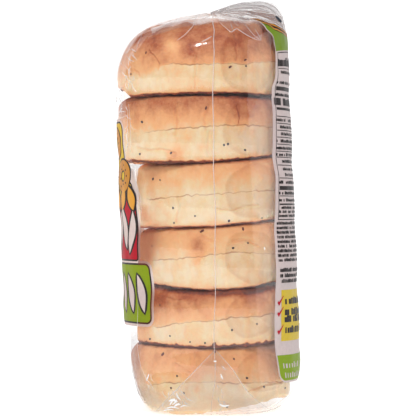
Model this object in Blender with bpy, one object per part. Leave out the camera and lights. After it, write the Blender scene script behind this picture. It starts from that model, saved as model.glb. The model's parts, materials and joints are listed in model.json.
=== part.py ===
"""A sealed clear bag of six bagels, stacked one on another and standing on the bag's folded base.

Metres, +Z up. The origin is at the middle of the base. The bag's front panel faces -X, its back panel
faces +X, and the two side welds run up the faces at -Y and +Y. The gathered neck is folded over towards +X.
"""

import math
from itertools import accumulate

import bpy
from mathutils import Vector

# The stack of bagels that fills the bag, from the bottom up: how tall each one stands
BAGEL_HEIGHTS = (0.0438, 0.0370, 0.0384, 0.0422, 0.0418, 0.0470)
SEAMS = tuple(accumulate(BAGEL_HEIGHTS[:-1]))   # the heights at which two bagels meet

# The bag round the stack
FRONT_TO_BACK = 0.1142
SIDE_TO_SIDE = 0.107
LEAN = -0.0406            # how far the stack leans to the front, for each metre of height
LEAN_PIVOT = 0.134        # the height at which the leaning stack is centred
SQUARENESS = 2.3          # exponent of the plan outline: 2 is an ellipse, more is squarer
TUCK_DEPTH_X = 0.0006     # how far the film draws in between two bagels
TUCK_DEPTH_Y = 0.0022
TUCK_HEIGHT = 0.013

# The rounded foot, down to the flat film that the bag stands on: height, roundness, inset at the base
FOOT_FRONT = (0.060, 2.0, 0.30)
FOOT_BACK = (0.046, 2.8, 0.62)
FOOT_SIDE = (0.026, 2.8, 0.22)
FOOT_SQUARENESS = 4.2     # the folded base is squarer than the bag above it
FOOT_SQUARE_HEIGHT = 0.034

# The shoulder and the slope up to the neck
SHOULDER_HEIGHT = 0.215
NECK_RISE = 0.0445
NECK_X = 0.0035
NECK_SHARE = 0.08         # neck radius as a share of the bag's half width
SLOPE_SHARE = 0.28        # share of the rise that the straight slope makes
SHOULDER_POWER_FRONT = 6  # a higher power makes a squarer shoulder
SHOULDER_POWER_BACK = 11
SHOULDER_ROUND = 0.6
FOLD_COUNT = 9            # folds that run from the neck to the shoulder
FOLD_DEPTH = 0.0016

# The welds up both sides
WELD_X_BOTTOM = 0.0052
WELD_X_SLOPE = -0.006
WELD_PROUD = 0.0009
WELD_HALF_ANGLE = 0.02    # radians on either side of the weld's edge

# The loose film past the neck, folded over towards the back
TAIL_START = (-0.0005, 0.2555)
TAIL_BEND = (0.0450, 0.2718)
TAIL_END = (0.0446, 0.2365)
TAIL_HALF_WIDTHS = (0.009, 0.035)
TAIL_HALF_DEPTHS = (0.0036, 0.0080)
TAIL_PLEATS = 7
TAIL_PLEAT_DEPTH = 0.10

# Counts of points
PANEL_POINTS = 21
FOOT_RINGS = 9
RINGS_PER_BAGEL = 6
CAP_RINGS = 11
TAIL_RINGS = 11
TAIL_POINTS = 42


def stack_centre(z):
    """X of the middle of the bag at height z."""
    return LEAN * (z - LEAN_PIVOT)


def foot_share(z, foot):
    """Share of the full half width that the bag has at height z of its rounded foot."""
    height, roundness, inset = foot
    up = min(1.0, z / height)
    quarter_round = (1.0 - (1.0 - up) ** roundness) ** (1.0 / roundness)
    return 1.0 - inset * (1.0 - quarter_round)


def tuck_share(z):
    """1 where two bagels meet, fading to 0 over the height of a tuck."""
    away = min(abs(z - seam) for seam in SEAMS) / TUCK_HEIGHT
    return max(0.0, 1.0 - away) ** 2


def squareness(z):
    """Exponent of the plan outline at height z."""
    foot = max(0.0, 1.0 - z / FOOT_SQUARE_HEIGHT)
    return SQUARENESS + (FOOT_SQUARENESS - SQUARENESS) * foot ** 2


def shoulder_rise(share, power):
    """Share of the neck's rise that the film has at a share of the bag's half width."""
    return (1.0 - SLOPE_SHARE * share) * max(0.0, 1.0 - share ** power) ** SHOULDER_ROUND


def weld_angle(z, centre, half_back):
    """Angle in the plan outline at which the near weld stands at height z."""
    offset = max(0.0, WELD_X_BOTTOM + WELD_X_SLOPE * z - centre)
    return math.acos((offset / half_back) ** (squareness(z) / 2.0))


def panel_angles(weld):
    """Angles once round the outline: back panel, weld, front panel, weld. Angle 0 is at +X."""
    angles = []
    for middle, reach in ((0.0, weld), (math.pi, math.pi - weld)):
        inner = reach - WELD_HALF_ANGLE
        for i in range(PANEL_POINTS):
            angles.append((middle + inner * (2.0 * i / (PANEL_POINTS - 1) - 1.0), False))
        angles.append((middle + reach, True))
    return angles


def squared(value, exponent):
    """A sine or cosine turned into that of the squared ellipse."""
    return math.copysign(abs(value) ** (2.0 / exponent), value)


def outline(centre, half_front, half_back, half_y, exponent, weld, height_at):
    """One ring of the bag: a squared ellipse with a fin at each weld."""
    ring = []
    for angle, is_weld in panel_angles(weld):
        fin = WELD_PROUD if is_weld else 0.0
        c, s = math.cos(angle), math.sin(angle)
        x = squared(c, exponent) * (half_back if c > 0 else half_front)
        y = squared(s, exponent) * half_y
        out = 1.0 + fin / math.hypot(x, y)
        ring.append(Vector((centre + x * out, y * out, height_at(angle))))
    return ring


def ring_heights():
    """Heights of the rings up to the shoulder, closest together at the foot."""
    heights = [SEAMS[0] * (i / FOOT_RINGS) ** 2 for i in range(FOOT_RINGS)]
    for low, tall in zip(SEAMS[:-1], BAGEL_HEIGHTS[1:-1]):
        heights += [low + tall * i / RINGS_PER_BAGEL for i in range(RINGS_PER_BAGEL)]
    return heights + [SEAMS[-1], (SEAMS[-1] + SHOULDER_HEIGHT) / 2]


def body_rings():
    """Rings from the flat base up to the shoulder."""
    rings = []
    for z in ring_heights():
        tuck = tuck_share(z)
        half_front, half_back = (
            FRONT_TO_BACK / 2 * foot_share(z, foot) - TUCK_DEPTH_X * tuck for foot in (FOOT_FRONT, FOOT_BACK)
        )
        half_y = SIDE_TO_SIDE / 2 * foot_share(z, FOOT_SIDE) - TUCK_DEPTH_Y * tuck
        centre = stack_centre(z)
        weld = weld_angle(z, centre, half_back)
        rings.append(outline(centre, half_front, half_back, half_y, squareness(z), weld, lambda angle, z=z: z))
    return rings


def cap_rings():
    """Rings from the shoulder in to the gathered neck, with folds that fan out from the neck."""
    rings = []
    shoulder_x = stack_centre(SHOULDER_HEIGHT)
    for i in range(CAP_RINGS):
        share = 1.0 - (1.0 - NECK_SHARE) * (i / (CAP_RINGS - 1)) ** 1.4
        front = shoulder_rise(share, SHOULDER_POWER_FRONT)
        back = shoulder_rise(share, SHOULDER_POWER_BACK)
        centre = shoulder_x * share + NECK_X * (1.0 - share)
        depth = FOLD_DEPTH * (1.0 - share) * min(1.0, 4.0 * share)
        half_x, half_y = FRONT_TO_BACK / 2 * share, SIDE_TO_SIDE / 2 * share
        weld = weld_angle(SHOULDER_HEIGHT, shoulder_x, FRONT_TO_BACK / 2)

        def height_at(angle, front=front, back=back, depth=depth):
            rise = front + (back - front) * max(0.0, math.cos(angle))
            return SHOULDER_HEIGHT + NECK_RISE * rise + depth * math.cos(FOLD_COUNT * angle)

        rings.append(outline(centre, half_x, half_x, half_y, SQUARENESS, weld, height_at))
    return rings


def tail_rings():
    """Rings along the folded-over tail: a flat pleated tube that widens to its mouth."""
    start, bend, end = (Vector((x, 0.0, z)) for x, z in (TAIL_START, TAIL_BEND, TAIL_END))
    rings = []
    for i in range(TAIL_RINGS):
        t = i / (TAIL_RINGS - 1)
        middle = start * (1 - t) ** 2 + bend * 2 * t * (1 - t) + end * t ** 2
        along = ((bend - start) * (1 - t) + (end - bend) * t).normalized()
        across = Vector((0.0, 1.0, 0.0))
        up = along.cross(across) * -1.0
        swell = math.sin(math.pi * min(1.0, 0.08 + 1.1 * t) / 2)
        half_width = TAIL_HALF_WIDTHS[0] + (TAIL_HALF_WIDTHS[1] - TAIL_HALF_WIDTHS[0]) * swell
        half_depth = TAIL_HALF_DEPTHS[0] + (TAIL_HALF_DEPTHS[1] - TAIL_HALF_DEPTHS[0]) * math.sin(math.pi * t * 0.75)
        ring = []
        for j in range(TAIL_POINTS):
            angle = 2 * math.pi * j / TAIL_POINTS
            pleat = 1.0 + TAIL_PLEAT_DEPTH * t * math.cos(2 * TAIL_PLEATS * angle)
            ring.append(middle + across * half_width * math.cos(angle) + up * half_depth * pleat * math.sin(angle))
        rings.append(ring)
    return rings


def loft(name, rings):
    """A closed mesh object through rings of equal point counts, with both ends capped."""
    count = len(rings[0])
    points = [point for ring in rings for point in ring]
    faces = [tuple(reversed(range(count)))]
    for r in range(len(rings) - 1):
        for j in range(count):
            k = (j + 1) % count
            faces.append((r * count + j, r * count + k, (r + 1) * count + k, (r + 1) * count + j))
    faces.append(tuple(range(len(points) - count, len(points))))
    mesh = bpy.data.meshes.new(name)
    mesh.from_pydata(points, [], faces)
    mesh.update()
    return bpy.data.objects.new(name, mesh)


def centre_on_origin(obj):
    """Moves the mesh so that its outline in plan is centred on the origin."""
    for axis in (0, 1):
        places = [vertex.co[axis] for vertex in obj.data.vertices]
        middle = (min(places) + max(places)) / 2
        for vertex in obj.data.vertices:
            vertex.co[axis] -= middle


def film_material():
    material = bpy.data.materials.new("clear_film")
    material.use_nodes = True
    shader = material.node_tree.nodes["Principled BSDF"]
    shader.inputs["Base Color"].default_value = (0.76, 0.50, 0.28, 1.0)
    shader.inputs["Roughness"].default_value = 0.25
    shader.inputs["Metallic"].default_value = 0.0
    return material


def make_collection(name, hidden=False):
    collection = bpy.data.collections.new(name)
    collection.hide_render = hidden
    bpy.context.scene.collection.children.link(collection)
    return collection


def main():
    for obj in list(bpy.data.objects):
        bpy.data.objects.remove(obj)
    parts = make_collection("bagel_bag")
    helpers = make_collection("helpers", hidden=True)

    bag = loft("bagel_bag", body_rings() + cap_rings())
    tail = loft("tail_shape", tail_rings())
    parts.objects.link(bag)
    helpers.objects.link(tail)
    tail.hide_render = True
    tail.display_type = "WIRE"

    join = bag.modifiers.new("folded_tail", "BOOLEAN")
    join.operation = "UNION"
    join.object = tail
    bpy.context.view_layer.update()
    graph = bpy.context.evaluated_depsgraph_get()
    joined = bpy.data.meshes.new_from_object(bag.evaluated_get(graph))
    bag.modifiers.clear()
    bag.data = joined
    bpy.data.objects.remove(tail)

    centre_on_origin(bag)
    bag.data.materials.clear()
    bag.data.materials.append(film_material())
    bag.data.shade_smooth()
    bag.data.set_sharp_from_angle(angle=math.radians(35))


main()
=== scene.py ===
"""A clear film bag of six onion bagels: bread, seeds, film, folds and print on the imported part.

Metres, +Z up. The front panel of the bag faces -X and its back panel +X. The camera looks along +Y at the
side weld, as in the photograph.
"""
import json
import math

import bmesh
import bpy
import numpy as np
from bpy.props import FloatProperty, FloatVectorProperty, IntProperty, PointerProperty
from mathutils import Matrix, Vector, noise
from mathutils.bvhtree import BVHTree
from mathutils.kdtree import KDTree

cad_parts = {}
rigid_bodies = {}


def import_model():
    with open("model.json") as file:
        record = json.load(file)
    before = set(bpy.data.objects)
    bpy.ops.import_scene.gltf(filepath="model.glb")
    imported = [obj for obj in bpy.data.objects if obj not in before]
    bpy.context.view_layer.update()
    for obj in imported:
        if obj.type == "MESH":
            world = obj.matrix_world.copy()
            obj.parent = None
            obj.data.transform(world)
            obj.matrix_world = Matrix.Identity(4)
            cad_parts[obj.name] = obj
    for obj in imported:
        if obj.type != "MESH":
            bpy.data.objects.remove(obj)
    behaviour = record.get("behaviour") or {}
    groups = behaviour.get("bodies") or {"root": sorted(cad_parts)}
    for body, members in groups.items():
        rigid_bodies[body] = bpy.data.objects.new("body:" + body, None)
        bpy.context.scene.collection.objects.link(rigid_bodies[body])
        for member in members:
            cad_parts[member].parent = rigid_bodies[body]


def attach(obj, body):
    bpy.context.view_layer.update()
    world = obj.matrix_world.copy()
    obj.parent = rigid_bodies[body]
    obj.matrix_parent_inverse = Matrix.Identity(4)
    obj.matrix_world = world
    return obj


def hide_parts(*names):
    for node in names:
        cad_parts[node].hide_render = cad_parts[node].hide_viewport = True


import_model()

bl_info = {
    "name": "Bagel bag",
    "version": (1, 0, 0),
    "blender": (4, 5, 0),
    "location": "View3D > Sidebar > Bagel bag",
    "description": "Makes a clear film bag packed with onion bagels",
    "category": "Add Mesh",
}

NODE = "bagel_bag"
MM = 0.001

# ---- The photograph's frame ---------------------------------------------------------------------------
CAMERA_DISTANCE = 1.25     # from the bag's middle
CAMERA_HEIGHT = 0.1314
CAMERA_X = 0.0004
FOCAL_PX = 1901.0          # focal length in pixels of the 416 px frame
FRAME_PX = 416.0
BAG_MIDDLE = Vector((0.0, 0.0, 0.13))
BAG_DEPTH_Y = -0.051       # depth of the near side of the stack, where most of the photo's lines lie

# ---- The bag's outline: the CAD solid's, but tauter between the bagels and fuller at the back ----------
BAGEL_HEIGHTS = (0.0438, 0.0370, 0.0384, 0.0422, 0.0418, 0.0470)   # from the bottom up
SEAMS = np.cumsum(BAGEL_HEIGHTS[:-1])
FRONT_TO_BACK = 0.1142
SIDE_TO_SIDE = 0.107
LEAN = -0.0406
LEAN_PIVOT = 0.134
PLAN_SHIFT = -0.00022      # the CAD solid is centred on its own outline
SQUARENESS = 2.3
TUCK_DEPTH_X = 0.0006
TUCK_DEPTH_Y = 0.0007      # the film bridges from one bagel to the next more tautly than the solid does
TUCK_HEIGHT = 0.013
FOOT_FRONT = (0.060, 2.0, 0.30)
FOOT_BACK = (0.046, 2.8, 0.62)
FOOT_SIDE = (0.026, 2.8, 0.22)
FOOT_SQUARENESS = 4.2
FOOT_SQUARE_HEIGHT = 0.034
SHOULDER_HEIGHT = 0.215
NECK_RISE = 0.0445
NECK_X = 0.0035
NECK_SHARE = 0.08
SLOPE_SHARE = 0.28
SHOULDER_POWER_FRONT = 6
SHOULDER_POWER_BACK = 40
SHOULDER_ROUND = 0.6
BACK_LIFT = 0.080          # how much fuller the back shoulder is, as a share of the neck's rise
BACK_BLEND = 0.22          # how softly the front's shape turns into the back's, round the cap
CAP_CROWDING = 1.4
WELD_X_BOTTOM = 0.0052
WELD_X_SLOPE = -0.006

# ---- The bagels, top to bottom ------------------------------------------------------------------------
# Each line across the stack is given in the photo's pixels at five stations from left to right.
STATIONS_PX = (140, 175, 210, 245, 275)
SEAM_LINES_PX = (
    (22, 13, 10, 9.5, 15), (96, 94.5, 93.5, 94, 96.5), (162, 164, 161.6, 159, 156.8),
    (227.5, 228.2, 226.3, 224, 220.5), (282, 287, 290.5, 288.2, 283), (344, 346.5, 348.5, 346.5, 342.5),
    (411, 413, 413, 408, 399),
)
CUT_LINES_PX = (
    (66, 64.5, 64, 63.5, 62), (133, 129.5, 126, 125, 128), (200, 198, 193, 193, 190),
    (258, 259, 256, 252.5, 255), (330, 324, 320.5, 317, 314), (386, 383, 382, 383, 382),
)
EDGES_PX = ((118.5, 286), (118.7, 287), (137, 290), (138, 292), (138, 294), (130.5, 290))
TOP_CORNERS = ((0.027, 0.034), (0.012, 0.008), (0.012, 0.006), (0.01, 0.01), (0.011, 0.008), (0.009, 0.01))
BASE_CORNER = (0.0040, 0.0027)
LOWEST_BASE = 0.0012       # how far over the bag's base the lowest bagel's base stays
PRESSED_CORNER = 0.25      # share of the corner's inset that is left on the near and far faces
SEAM_GAPS = (0.0002, 0.0001, 0.0001, 0.0, 0.0001)   # how far the rims stand clear at each seam
NEAR_CROWDING = 0.30       # how much closer together the points are on the near side
# How brown each bagel's crust is just over the slice line and at its top
CRUST_BROWNING = ((0.36, 0.7), (0.16, 0.66), (0.06, 0.38), (0.14, 0.36), (0.22, 0.76), (0.18, 0.46))
DEEPEST_BROWN = 0.80       # no crust is browner than this away from the toasted and shaded rims
CHARRED_BROWN = 0.96       # and nothing is browner than this
# Where the slice line closes up on the left: the column and over how many pixels
CUT_FADES_PX = ((158, 12), (142, 7), (143, 7), (146, 7), (150, 7), (146, 7))
CLOSED_DROPS = (0.005, 0.001, 0.002, 0.002, 0.001, 0.0015)   # how much lower the brown crust reaches there
# The topmost bagel's top is fuller to the back: how far, from which column and over how many pixels
FULLER_BACK = (0.007, 228, 34)
TURNED_UP = (0.0048, 15)   # its base turns up at the front: how far, and over how many pixels
# Toasted rim round each bagel's base, with painted shade of the seam: how much browner, its height and how
# far that wanders
BASE_TOAST_AND_SHADE_MM = (
    (0.8, 1, 0.7), (0.84, 1.2, 1.2), (0.62, 0.8, 0.6), (0.64, 0.8, 0.5), (0.88, 1.5, 1.4), (0.05, 0.5, 0.3),
)
# Painted shade under each bagel's top edge, where the bagel above shades it: its height at the left and at
# the right, and how much browner
TOP_SHADE_MM = (
    (1, 1, 0), (1.4, 4, 0.24), (3.2, 2.8, 0.3), (2.4, 2.6, 0.24), (4.4, 7.2, 0.4), (1.8, 2.6, 0.24),
)
# Painted shade on the left flanks, browner, or painted light, paler, where negative: the column, how far
# right they reach and how much browner
FLANK_SHADE_PX = (
    (118, 22, 0.16), (118, 12, 0.12), (139, 14, -0.1), (145, 14, 0.22), (145, 12, 0.26), (131, 16, 0.22),
)

# ---- Folds and second layers of film, each placed by its column and row in the photograph --------------
GUSSET_LEFT_PX = ((215, 350), (155.5, 411.5))
GUSSET_RIGHT_PX = (
    (215.6, 350), (225, 360.5), (233.5, 370.5), (241, 382.5), (247, 391.5), (256, 400), (268, 408),
)
NECK_VEIL_TOP_PX = ((151, 28.5), (180, 19.5), (208, 13.5))
NECK_VEIL_LOW_PX = ((153, 36), (184, 27.5), (194, 26), (213, 24.5))
TAIL_FLAP_TOP_PX = ((214, 15.5), (236, 17.5), (262, 23.5))
TAIL_FLAP_LOW_PX = ((219.8, 23.4), (231.2, 32.8), (236.5, 28.8), (246, 34.8), (255.3, 39.5), (260.6, 40.5))
CREASES_PX = (
    (0.0005, GUSSET_LEFT_PX),
    (0.0005, GUSSET_RIGHT_PX),
    (0.0003, ((216, 413), (243, 411), (270, 408), (279, 402), (286, 396))),
    (0.0003, ((127.5, 106), (128.6, 125), (128, 148))),
    (0.0003, ((194, 22.5), (180, 22), (165, 24))),
    (0.0003, ((142, 35), (138.5, 43), (135, 53))),
    (0.0004, ((129, 104), (131, 125), (130.5, 152))),
    (0.0007, TAIL_FLAP_LOW_PX),
    (0.0005, ((244.6, 24.1), (253.3, 34.8), (260.6, 40.5))),
    (0.0005, ((254.6, 28.8), (258, 34), (261, 40.2))),
    (0.0005, ((224.5, 17.7), (232.5, 21.4), (238.5, 26.8))),
    (0.0005, ((230.5, 23.4), (232.5, 29.5))),
    (0.0005, ((197, 15.5), (193, 26), (186, 34), (177, 41))),
    (0.0008, ((201, 42.5), (206, 40), (212, 36.5))),
    (0.0005, ((138.2, 290), (138.1, 346), (139.2, 357), (142.5, 370), (146.3, 377.7))),
    (0.0010, ((132.7, 168), (138.8, 193.7), (140.3, 209.8))),
    (0.0005, ((134, 172), (141, 198), (142, 214))),
)
# Where the film is finely crumpled, shown by painted glints: how many wrinkles, and two corners of the place
WRINKLES_PX = (
    (24, (121, 48), (134, 84)), (10, (119, 86), (124, 112)), (8, (126, 102), (132, 148)),
    (7, (216, 352), (224, 396)), (22, (160, 388), (186, 409)), (5, (146, 374), (152, 386)),
    (9, (217, 396), (229, 411)), (9, (252, 398), (282, 410)),
)
# Left edges of the painted dull shine where the film curves off to the right, bagel by bagel from the top
SHINE_EDGES_PX = (
    ((253, 58), (252, 66), (254, 78), (259, 92)),
    ((262, 94), (256, 99), (250, 110), (246, 124), (237, 132), (236, 137), (241, 143), (247, 150),
     (249, 157)), ((250, 161), (254, 170), (262, 178), (252, 188), (252, 198), (258, 206), (260, 217)),
    ((259, 223), (258, 236), (259, 250), (258, 266), (256, 279)),
    ((245, 289), (245, 300), (247, 311), (255, 322), (257, 337)),
    ((256, 342), (254, 356), (252, 368), (250, 380), (251, 396)),
)
SHINE_RIGHT_PX = 276
SHINE_STRENGTHS = (0.05, 0.14, 0.08, 0.06, 0.08, 0.06)
# Haze and painted shade on the film by the front edge: colour, strength, how softly it begins, and
# its inner and outer line
TINTS_PX = (
    # Grey fold down the foot, partly painted shade; slack film between the front print and the third bagel
    ("#A0989A", 0.3, 0.15, ((138.2, 318), (138.6, 350), (142, 368), (147, 379), (152, 396)),
     ((131.5, 318), (131, 352), (132, 372), (136.5, 390), (144, 404))),
    ("#CFC0BC", 0.55, 0.15, ((136.5, 160), (136, 170), (137, 182), (139.5, 198), (141, 212)),
     ((124, 158), (126.5, 168), (131, 180), (135.5, 196), (139, 211))),
    # Painted shade: the third bagel's darker edge, and the print's reddish shadow on the third to the fifth
    ("#B07A54", 0.5, 0.95, ((146, 164), (146, 178), (147, 198), (148, 214)),
     ((136, 164), (136.5, 178), (138.5, 198), (140.5, 214))),
    ("#C0705A", 0.45, 0.8, ((153, 202), (155, 214), (158, 226)), ((139.5, 202), (141, 214), (141, 226))),
    ("#84443A", 0.62, 0.6, ((168, 220), (164, 238), (160, 254), (158, 276)),
     ((138.5, 220), (138.5, 240), (138.5, 276))),
    ("#8A4A30", 0.46, 0.6, ((172, 282), (168, 302), (160, 314), (158, 332)), ((139, 282), (139, 332))),
    # Painted shade: browner film over the topmost bagel's shoulder
    ("#9A5C44", 0.5, 0.8, ((140, 44), (152, 37), (166, 31), (182, 26)),
     ((134, 40), (147, 32), (162, 25), (180, 20))),
    # The greyer foot
    ("#C2B2A6", 0.42, 0.6, ((152, 382), (160, 390), (172, 397), (186, 404)),
     ((133, 384), (137, 392), (143, 401), (154, 411))),
    ("#B8A898", 0.24, 0.6, ((222, 390), (240, 394), (262, 392), (280, 386)),
     ((222, 412), (246, 410), (268, 407), (284, 397))),
)
# Painted glints where the film is crumpled at the foot: width and line
GLINTS_PX = (
    (0.0017, ((169, 401), (173, 399.5), (178, 401.5))),
    (0.0014, ((174, 406.5), (178, 403.5), (180.5, 404.5))), (0.001, ((166, 408), (172, 406.5), (179, 408))),
    (0.0009, ((176.5, 393), (178, 397), (181, 400))), (0.0012, ((170, 405), (171.5, 402), (175, 398))),
    (0.001, ((172.5, 404.5), (176, 402), (177, 399))), (0.0009, ((163, 410.5), (168, 409), (174, 409.5))),
    (0.0008, ((180, 407), (184, 405), (188, 406))), (0.0012, ((213.5, 361), (215, 361.5), (216.5, 361))),
    (0.001, ((221, 374), (221.5, 377), (223, 379))), (0.0014, ((219, 404), (224, 406), (229, 405))),
    (0.0012, ((147, 381), (148.5, 377.5), (149.5, 374))),
    (0.001, ((263.5, 247), (264.5, 248.5), (264, 250))),
)

# ---- The tail past the neck: its top and lowest layers, each by start, bend and end as X and Z ----------
TAIL_TOP = ((0.0020, 0.2596), (0.0500, 0.2775), (0.0505, 0.2462))
TAIL_LOW = ((0.0030, 0.2576), (0.0300, 0.2604), (0.0478, 0.2534))
TAIL_LAYERS = 5
TAIL_NECK_HALF = 0.004     # half width of each layer at the neck, and of the top layer at the hem
TAIL_HEM_HALF = 0.026
TAIL_HEM_WIDER = 0.006     # how much more that is on the lowest layer
TAIL_MARK_LAYER = 2        # the layer that carries the dark mark, and where on it, how far off and how wide
TAIL_MARK_REACH = (0.81, 0.96)
TAIL_MARK_STAND = 0.0030
TAIL_MARK_WIDTH = 0.0017
TAIL_STREAKS = 4           # on each side of each layer

# ---- Marks on the bagels, placed by column and row in the photograph -----------------------------------
MARKED_Y = -0.010          # nearer to the camera than this, the marks fade in
# Creases and cracks in the dough: depth and half width in mm, how much browner as painted shade, and the line
DOUGH_CREASES_PX = (
    (0.6, 0.7, 0.08, ((199, 46), (197, 53), (195, 60), (195, 88))),
    (0.4, 0.45, 0.22, ((149, 50), (153, 54), (157, 59), (160, 64), (158, 70))),
    (0.4, 0.6, 0.2, ((134, 69), (137, 72), (139, 76))), (1, 3.2, 0.05, ((189, 38), (190, 48), (192, 56))),
    (0.5, 0.6, 0.1, ((234, 34), (236, 40), (235, 48), (237, 55), (236, 60))),
    (0.5, 0.9, 0.04, ((188, 55), (197, 56), (204, 60))),
    (0.9, 0.9, 0.05, ((177, 103), (175, 114), (177, 122), (175, 134))),
    (0.7, 0.8, 0.05, ((209, 104), (207, 112), (204, 120), (206, 130))),
    (0.4, 0.45, 0.34, ((236, 103), (238, 112), (239, 119), (237, 125))),
    (0.7, 0.7, 0.1, ((137, 148), (150, 150), (163, 149), (175, 153))),
    (0.6, 0.8, 0.04, ((210, 131), (207, 142), (208, 155))),
    (0.8, 0.8, 0.08, ((216, 209), (232, 211), (246, 206), (258, 205))),
    (0.6, 0.8, 0.05, ((177, 197), (178, 208), (176, 222))),
    (0.8, 0.8, 0.06, ((232, 241), (246, 240), (258, 246))),
    (0.7, 0.9, 0.05, ((199, 232), (204, 238), (212, 241))),
    (0.6, 0.8, 0.05, ((160, 296), (176, 300), (190, 297))),
    (0.8, 0.8, 0.06, ((176, 364), (184, 369), (190, 372))),
    (0.9, 0.7, 0.12, ((250, 391), (266, 385), (281, 382))),
)
# Browner blotches, or paler where negative, among them painted shade and a painted highlight: place,
# radius in px and how much browner
BLOTCHES_AND_PAINTED_LIGHT_PX = (
    # (195, 80) and (142, 214) are painted shade, and the pale (172, 46) a painted highlight
    (178, 151, 6, 0.26), (171, 156, 5, 0.2), (198.5, 246.5, 9, 0.44), (172, 46, 6.5, -0.4),
    (196, 262, 4, 0.22), (190, 48, 8, 0.06), (254, 74, 10, 0.05), (163, 396, 5, 0.18), (197, 389, 4, 0.16),
    (236, 112, 18, 0.16), (246, 118, 10, 0.12), (186, 376, 12, 0.07), (160, 360, 12, 0.05),
    (225, 300, 14, -0.05), (236, 175, 4, 0.12), (246, 168, 9, 0.1), (206, 112, 12, 0.06),
    (150, 62, 10, 0.08), (175, 156, 4, 0.16), (142, 214, 7, 0.26), (150, 222, 6, 0.16), (152, 44, 11, 0.08),
    (144, 58, 9, 0.04), (190, 52, 7, 0.06), (195, 80, 44, 0.05), (245, 48, 16, 0.12),
)
PLACED_SEEDS_Y = -0.012    # nearer to the camera than this there are only the seeds and flakes listed here
SEEDS_PX = (
    (228, 144), (224, 145), (171, 153), (140, 154), (173, 208), (174, 223), (195, 216), (229, 221),
    (233, 248), (248, 243), (232, 330), (257, 324), (234, 359), (177, 376), (170, 336), (150, 339),
    (190, 342), (205, 343), (247, 378), (264, 387), (227, 407), (184, 393), (171, 388), (142, 122),
    (153, 179), (160, 180), (245, 150), (262, 218), (160, 305), (246, 66), (131, 74), (215, 352),
    (152, 246), (285, 388),
)
FLAKES_PX = ((146, 53), (206, 108), (202, 231), (243, 229), (230, 67), (214, 344), (163, 354), (245, 60))
TINT_GRID = (20, 36)       # points across and along a tint or a shine
TINT_ENDS = 0.3            # share of a tint's length over which each end fades
# How far second layers, tints and painted shade stand off the film, so that no two of them coincide
LAYER_STAND, VEIL_STAND, FLAP_STAND, TINT_STAND, SHADE_STAND = 0.0005, 0.0006, 0.0012, 0.0003, -0.0002
SHADE_DEPTH = 0.20           # How deep the painted shade is in the darker, warmer ovals on the right of each bagel Where the ovals lie: middle and radii
# Where it does so: middle and radii
SHADE_OVALS_PX = (
    ((247, 62), (27, 29)), ((252, 128), (27, 28)), ((254, 191), (27, 27)), ((252, 257), (27, 25)),
    ((250, 316), (22, 22)), ((262, 372), (22, 20)),
)


def seen_at(px, py, y):
    """The point at depth y that the camera sees at a pixel of the photograph, as x and z."""
    reach = (CAMERA_DISTANCE + y) / FOCAL_PX
    return CAMERA_X + (px - FRAME_PX / 2) * reach, CAMERA_HEIGHT + (FRAME_PX / 2 - py) * reach


def pixel_of(points):
    """The photo's pixel column and row at which each point shows."""
    reach = FOCAL_PX / (CAMERA_DISTANCE + points[..., 1])
    column = FRAME_PX / 2 + (points[..., 0] - CAMERA_X) * reach
    return column, FRAME_PX / 2 - (points[..., 2] - CAMERA_HEIGHT) * reach


def pixel_column(x, y):
    return FRAME_PX / 2 + (x - CAMERA_X) * FOCAL_PX / (CAMERA_DISTANCE + y)


def linear(hex_colour):
    """An sRGB hex colour as linear red, green, blue and alpha."""
    values = [int(hex_colour[i:i + 2], 16) / 255 for i in (1, 3, 5)]
    return [v / 12.92 if v <= 0.04045 else ((v + 0.055) / 1.055) ** 2.4 for v in values] + [1.0]


WHITE = linear("#FFFFFF")


def unit(vectors):
    """Vectors made one long, or left at nothing where they are nothing."""
    return vectors / np.maximum(1e-12, np.linalg.norm(vectors, axis=-1, keepdims=True))


def smooth(value):
    """0 below 0, 1 above 1, and an even curve between."""
    t = np.clip(value, 0.0, 1.0)
    return t * t * (3.0 - 2.0 * t)


def wobble(points, size, seed, octaves=1):
    """Even noise from about -1 to 1 at each point, with bumps of that size in metres."""
    offset = Vector((seed * 7.13, seed * 3.71, seed * 5.37))
    flat = np.reshape(points, (-1, 3)) / size
    values = [noise.fractal(Vector(p) + offset, 1.0, 2.0, octaves) for p in flat.tolist()]
    return np.reshape(values, np.shape(points)[:-1])


def run_along(points):
    """How far each point of a line, or of each row of points, lies along it."""
    steps = np.cumsum(np.linalg.norm(np.diff(points, axis=-2), axis=-1), axis=-1)
    return np.concatenate([np.zeros_like(steps[..., :1]), steps], axis=-1)


# ---- Film surface -------------------------------------------------------------------------------------
def stack_centre(z):
    return LEAN * (z - LEAN_PIVOT) + PLAN_SHIFT


def foot_share(z, foot):
    height, roundness, inset = foot
    up = np.minimum(1.0, z / height)
    quarter_round = (1.0 - (1.0 - up) ** roundness) ** (1.0 / roundness)
    return 1.0 - inset * (1.0 - quarter_round)


def tuck_share(z):
    away = np.abs(np.subtract.outer(z, SEAMS)).min(axis=-1) / TUCK_HEIGHT
    return np.maximum(0.0, 1.0 - away ** 2) ** 2


def squareness(z):
    foot = np.maximum(0.0, 1.0 - z / FOOT_SQUARE_HEIGHT)
    return SQUARENESS + (FOOT_SQUARENESS - SQUARENESS) * foot ** 2


def shoulder_rise(share, power, lift=0.0):
    slope = 1.0 - SLOPE_SHARE * share + lift * smooth((share - 0.35) / 0.4)
    return slope * np.maximum(0.0, 1.0 - share ** power) ** SHOULDER_ROUND


def towards_back(cosine):
    """Share of the back shoulder's shape at a place round the cap: 0 at the front and 1 at the back."""
    return (cosine + np.sqrt(cosine ** 2 + BACK_BLEND ** 2)) / 2


def cap_rise(share, cosine):
    """How far the film rises above the shoulder at a share of the half width and the cosine of an angle."""
    front = shoulder_rise(share, SHOULDER_POWER_FRONT)
    back = shoulder_rise(share, SHOULDER_POWER_BACK, BACK_LIFT)
    return NECK_RISE * (front + (back - front) * towards_back(cosine))


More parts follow.
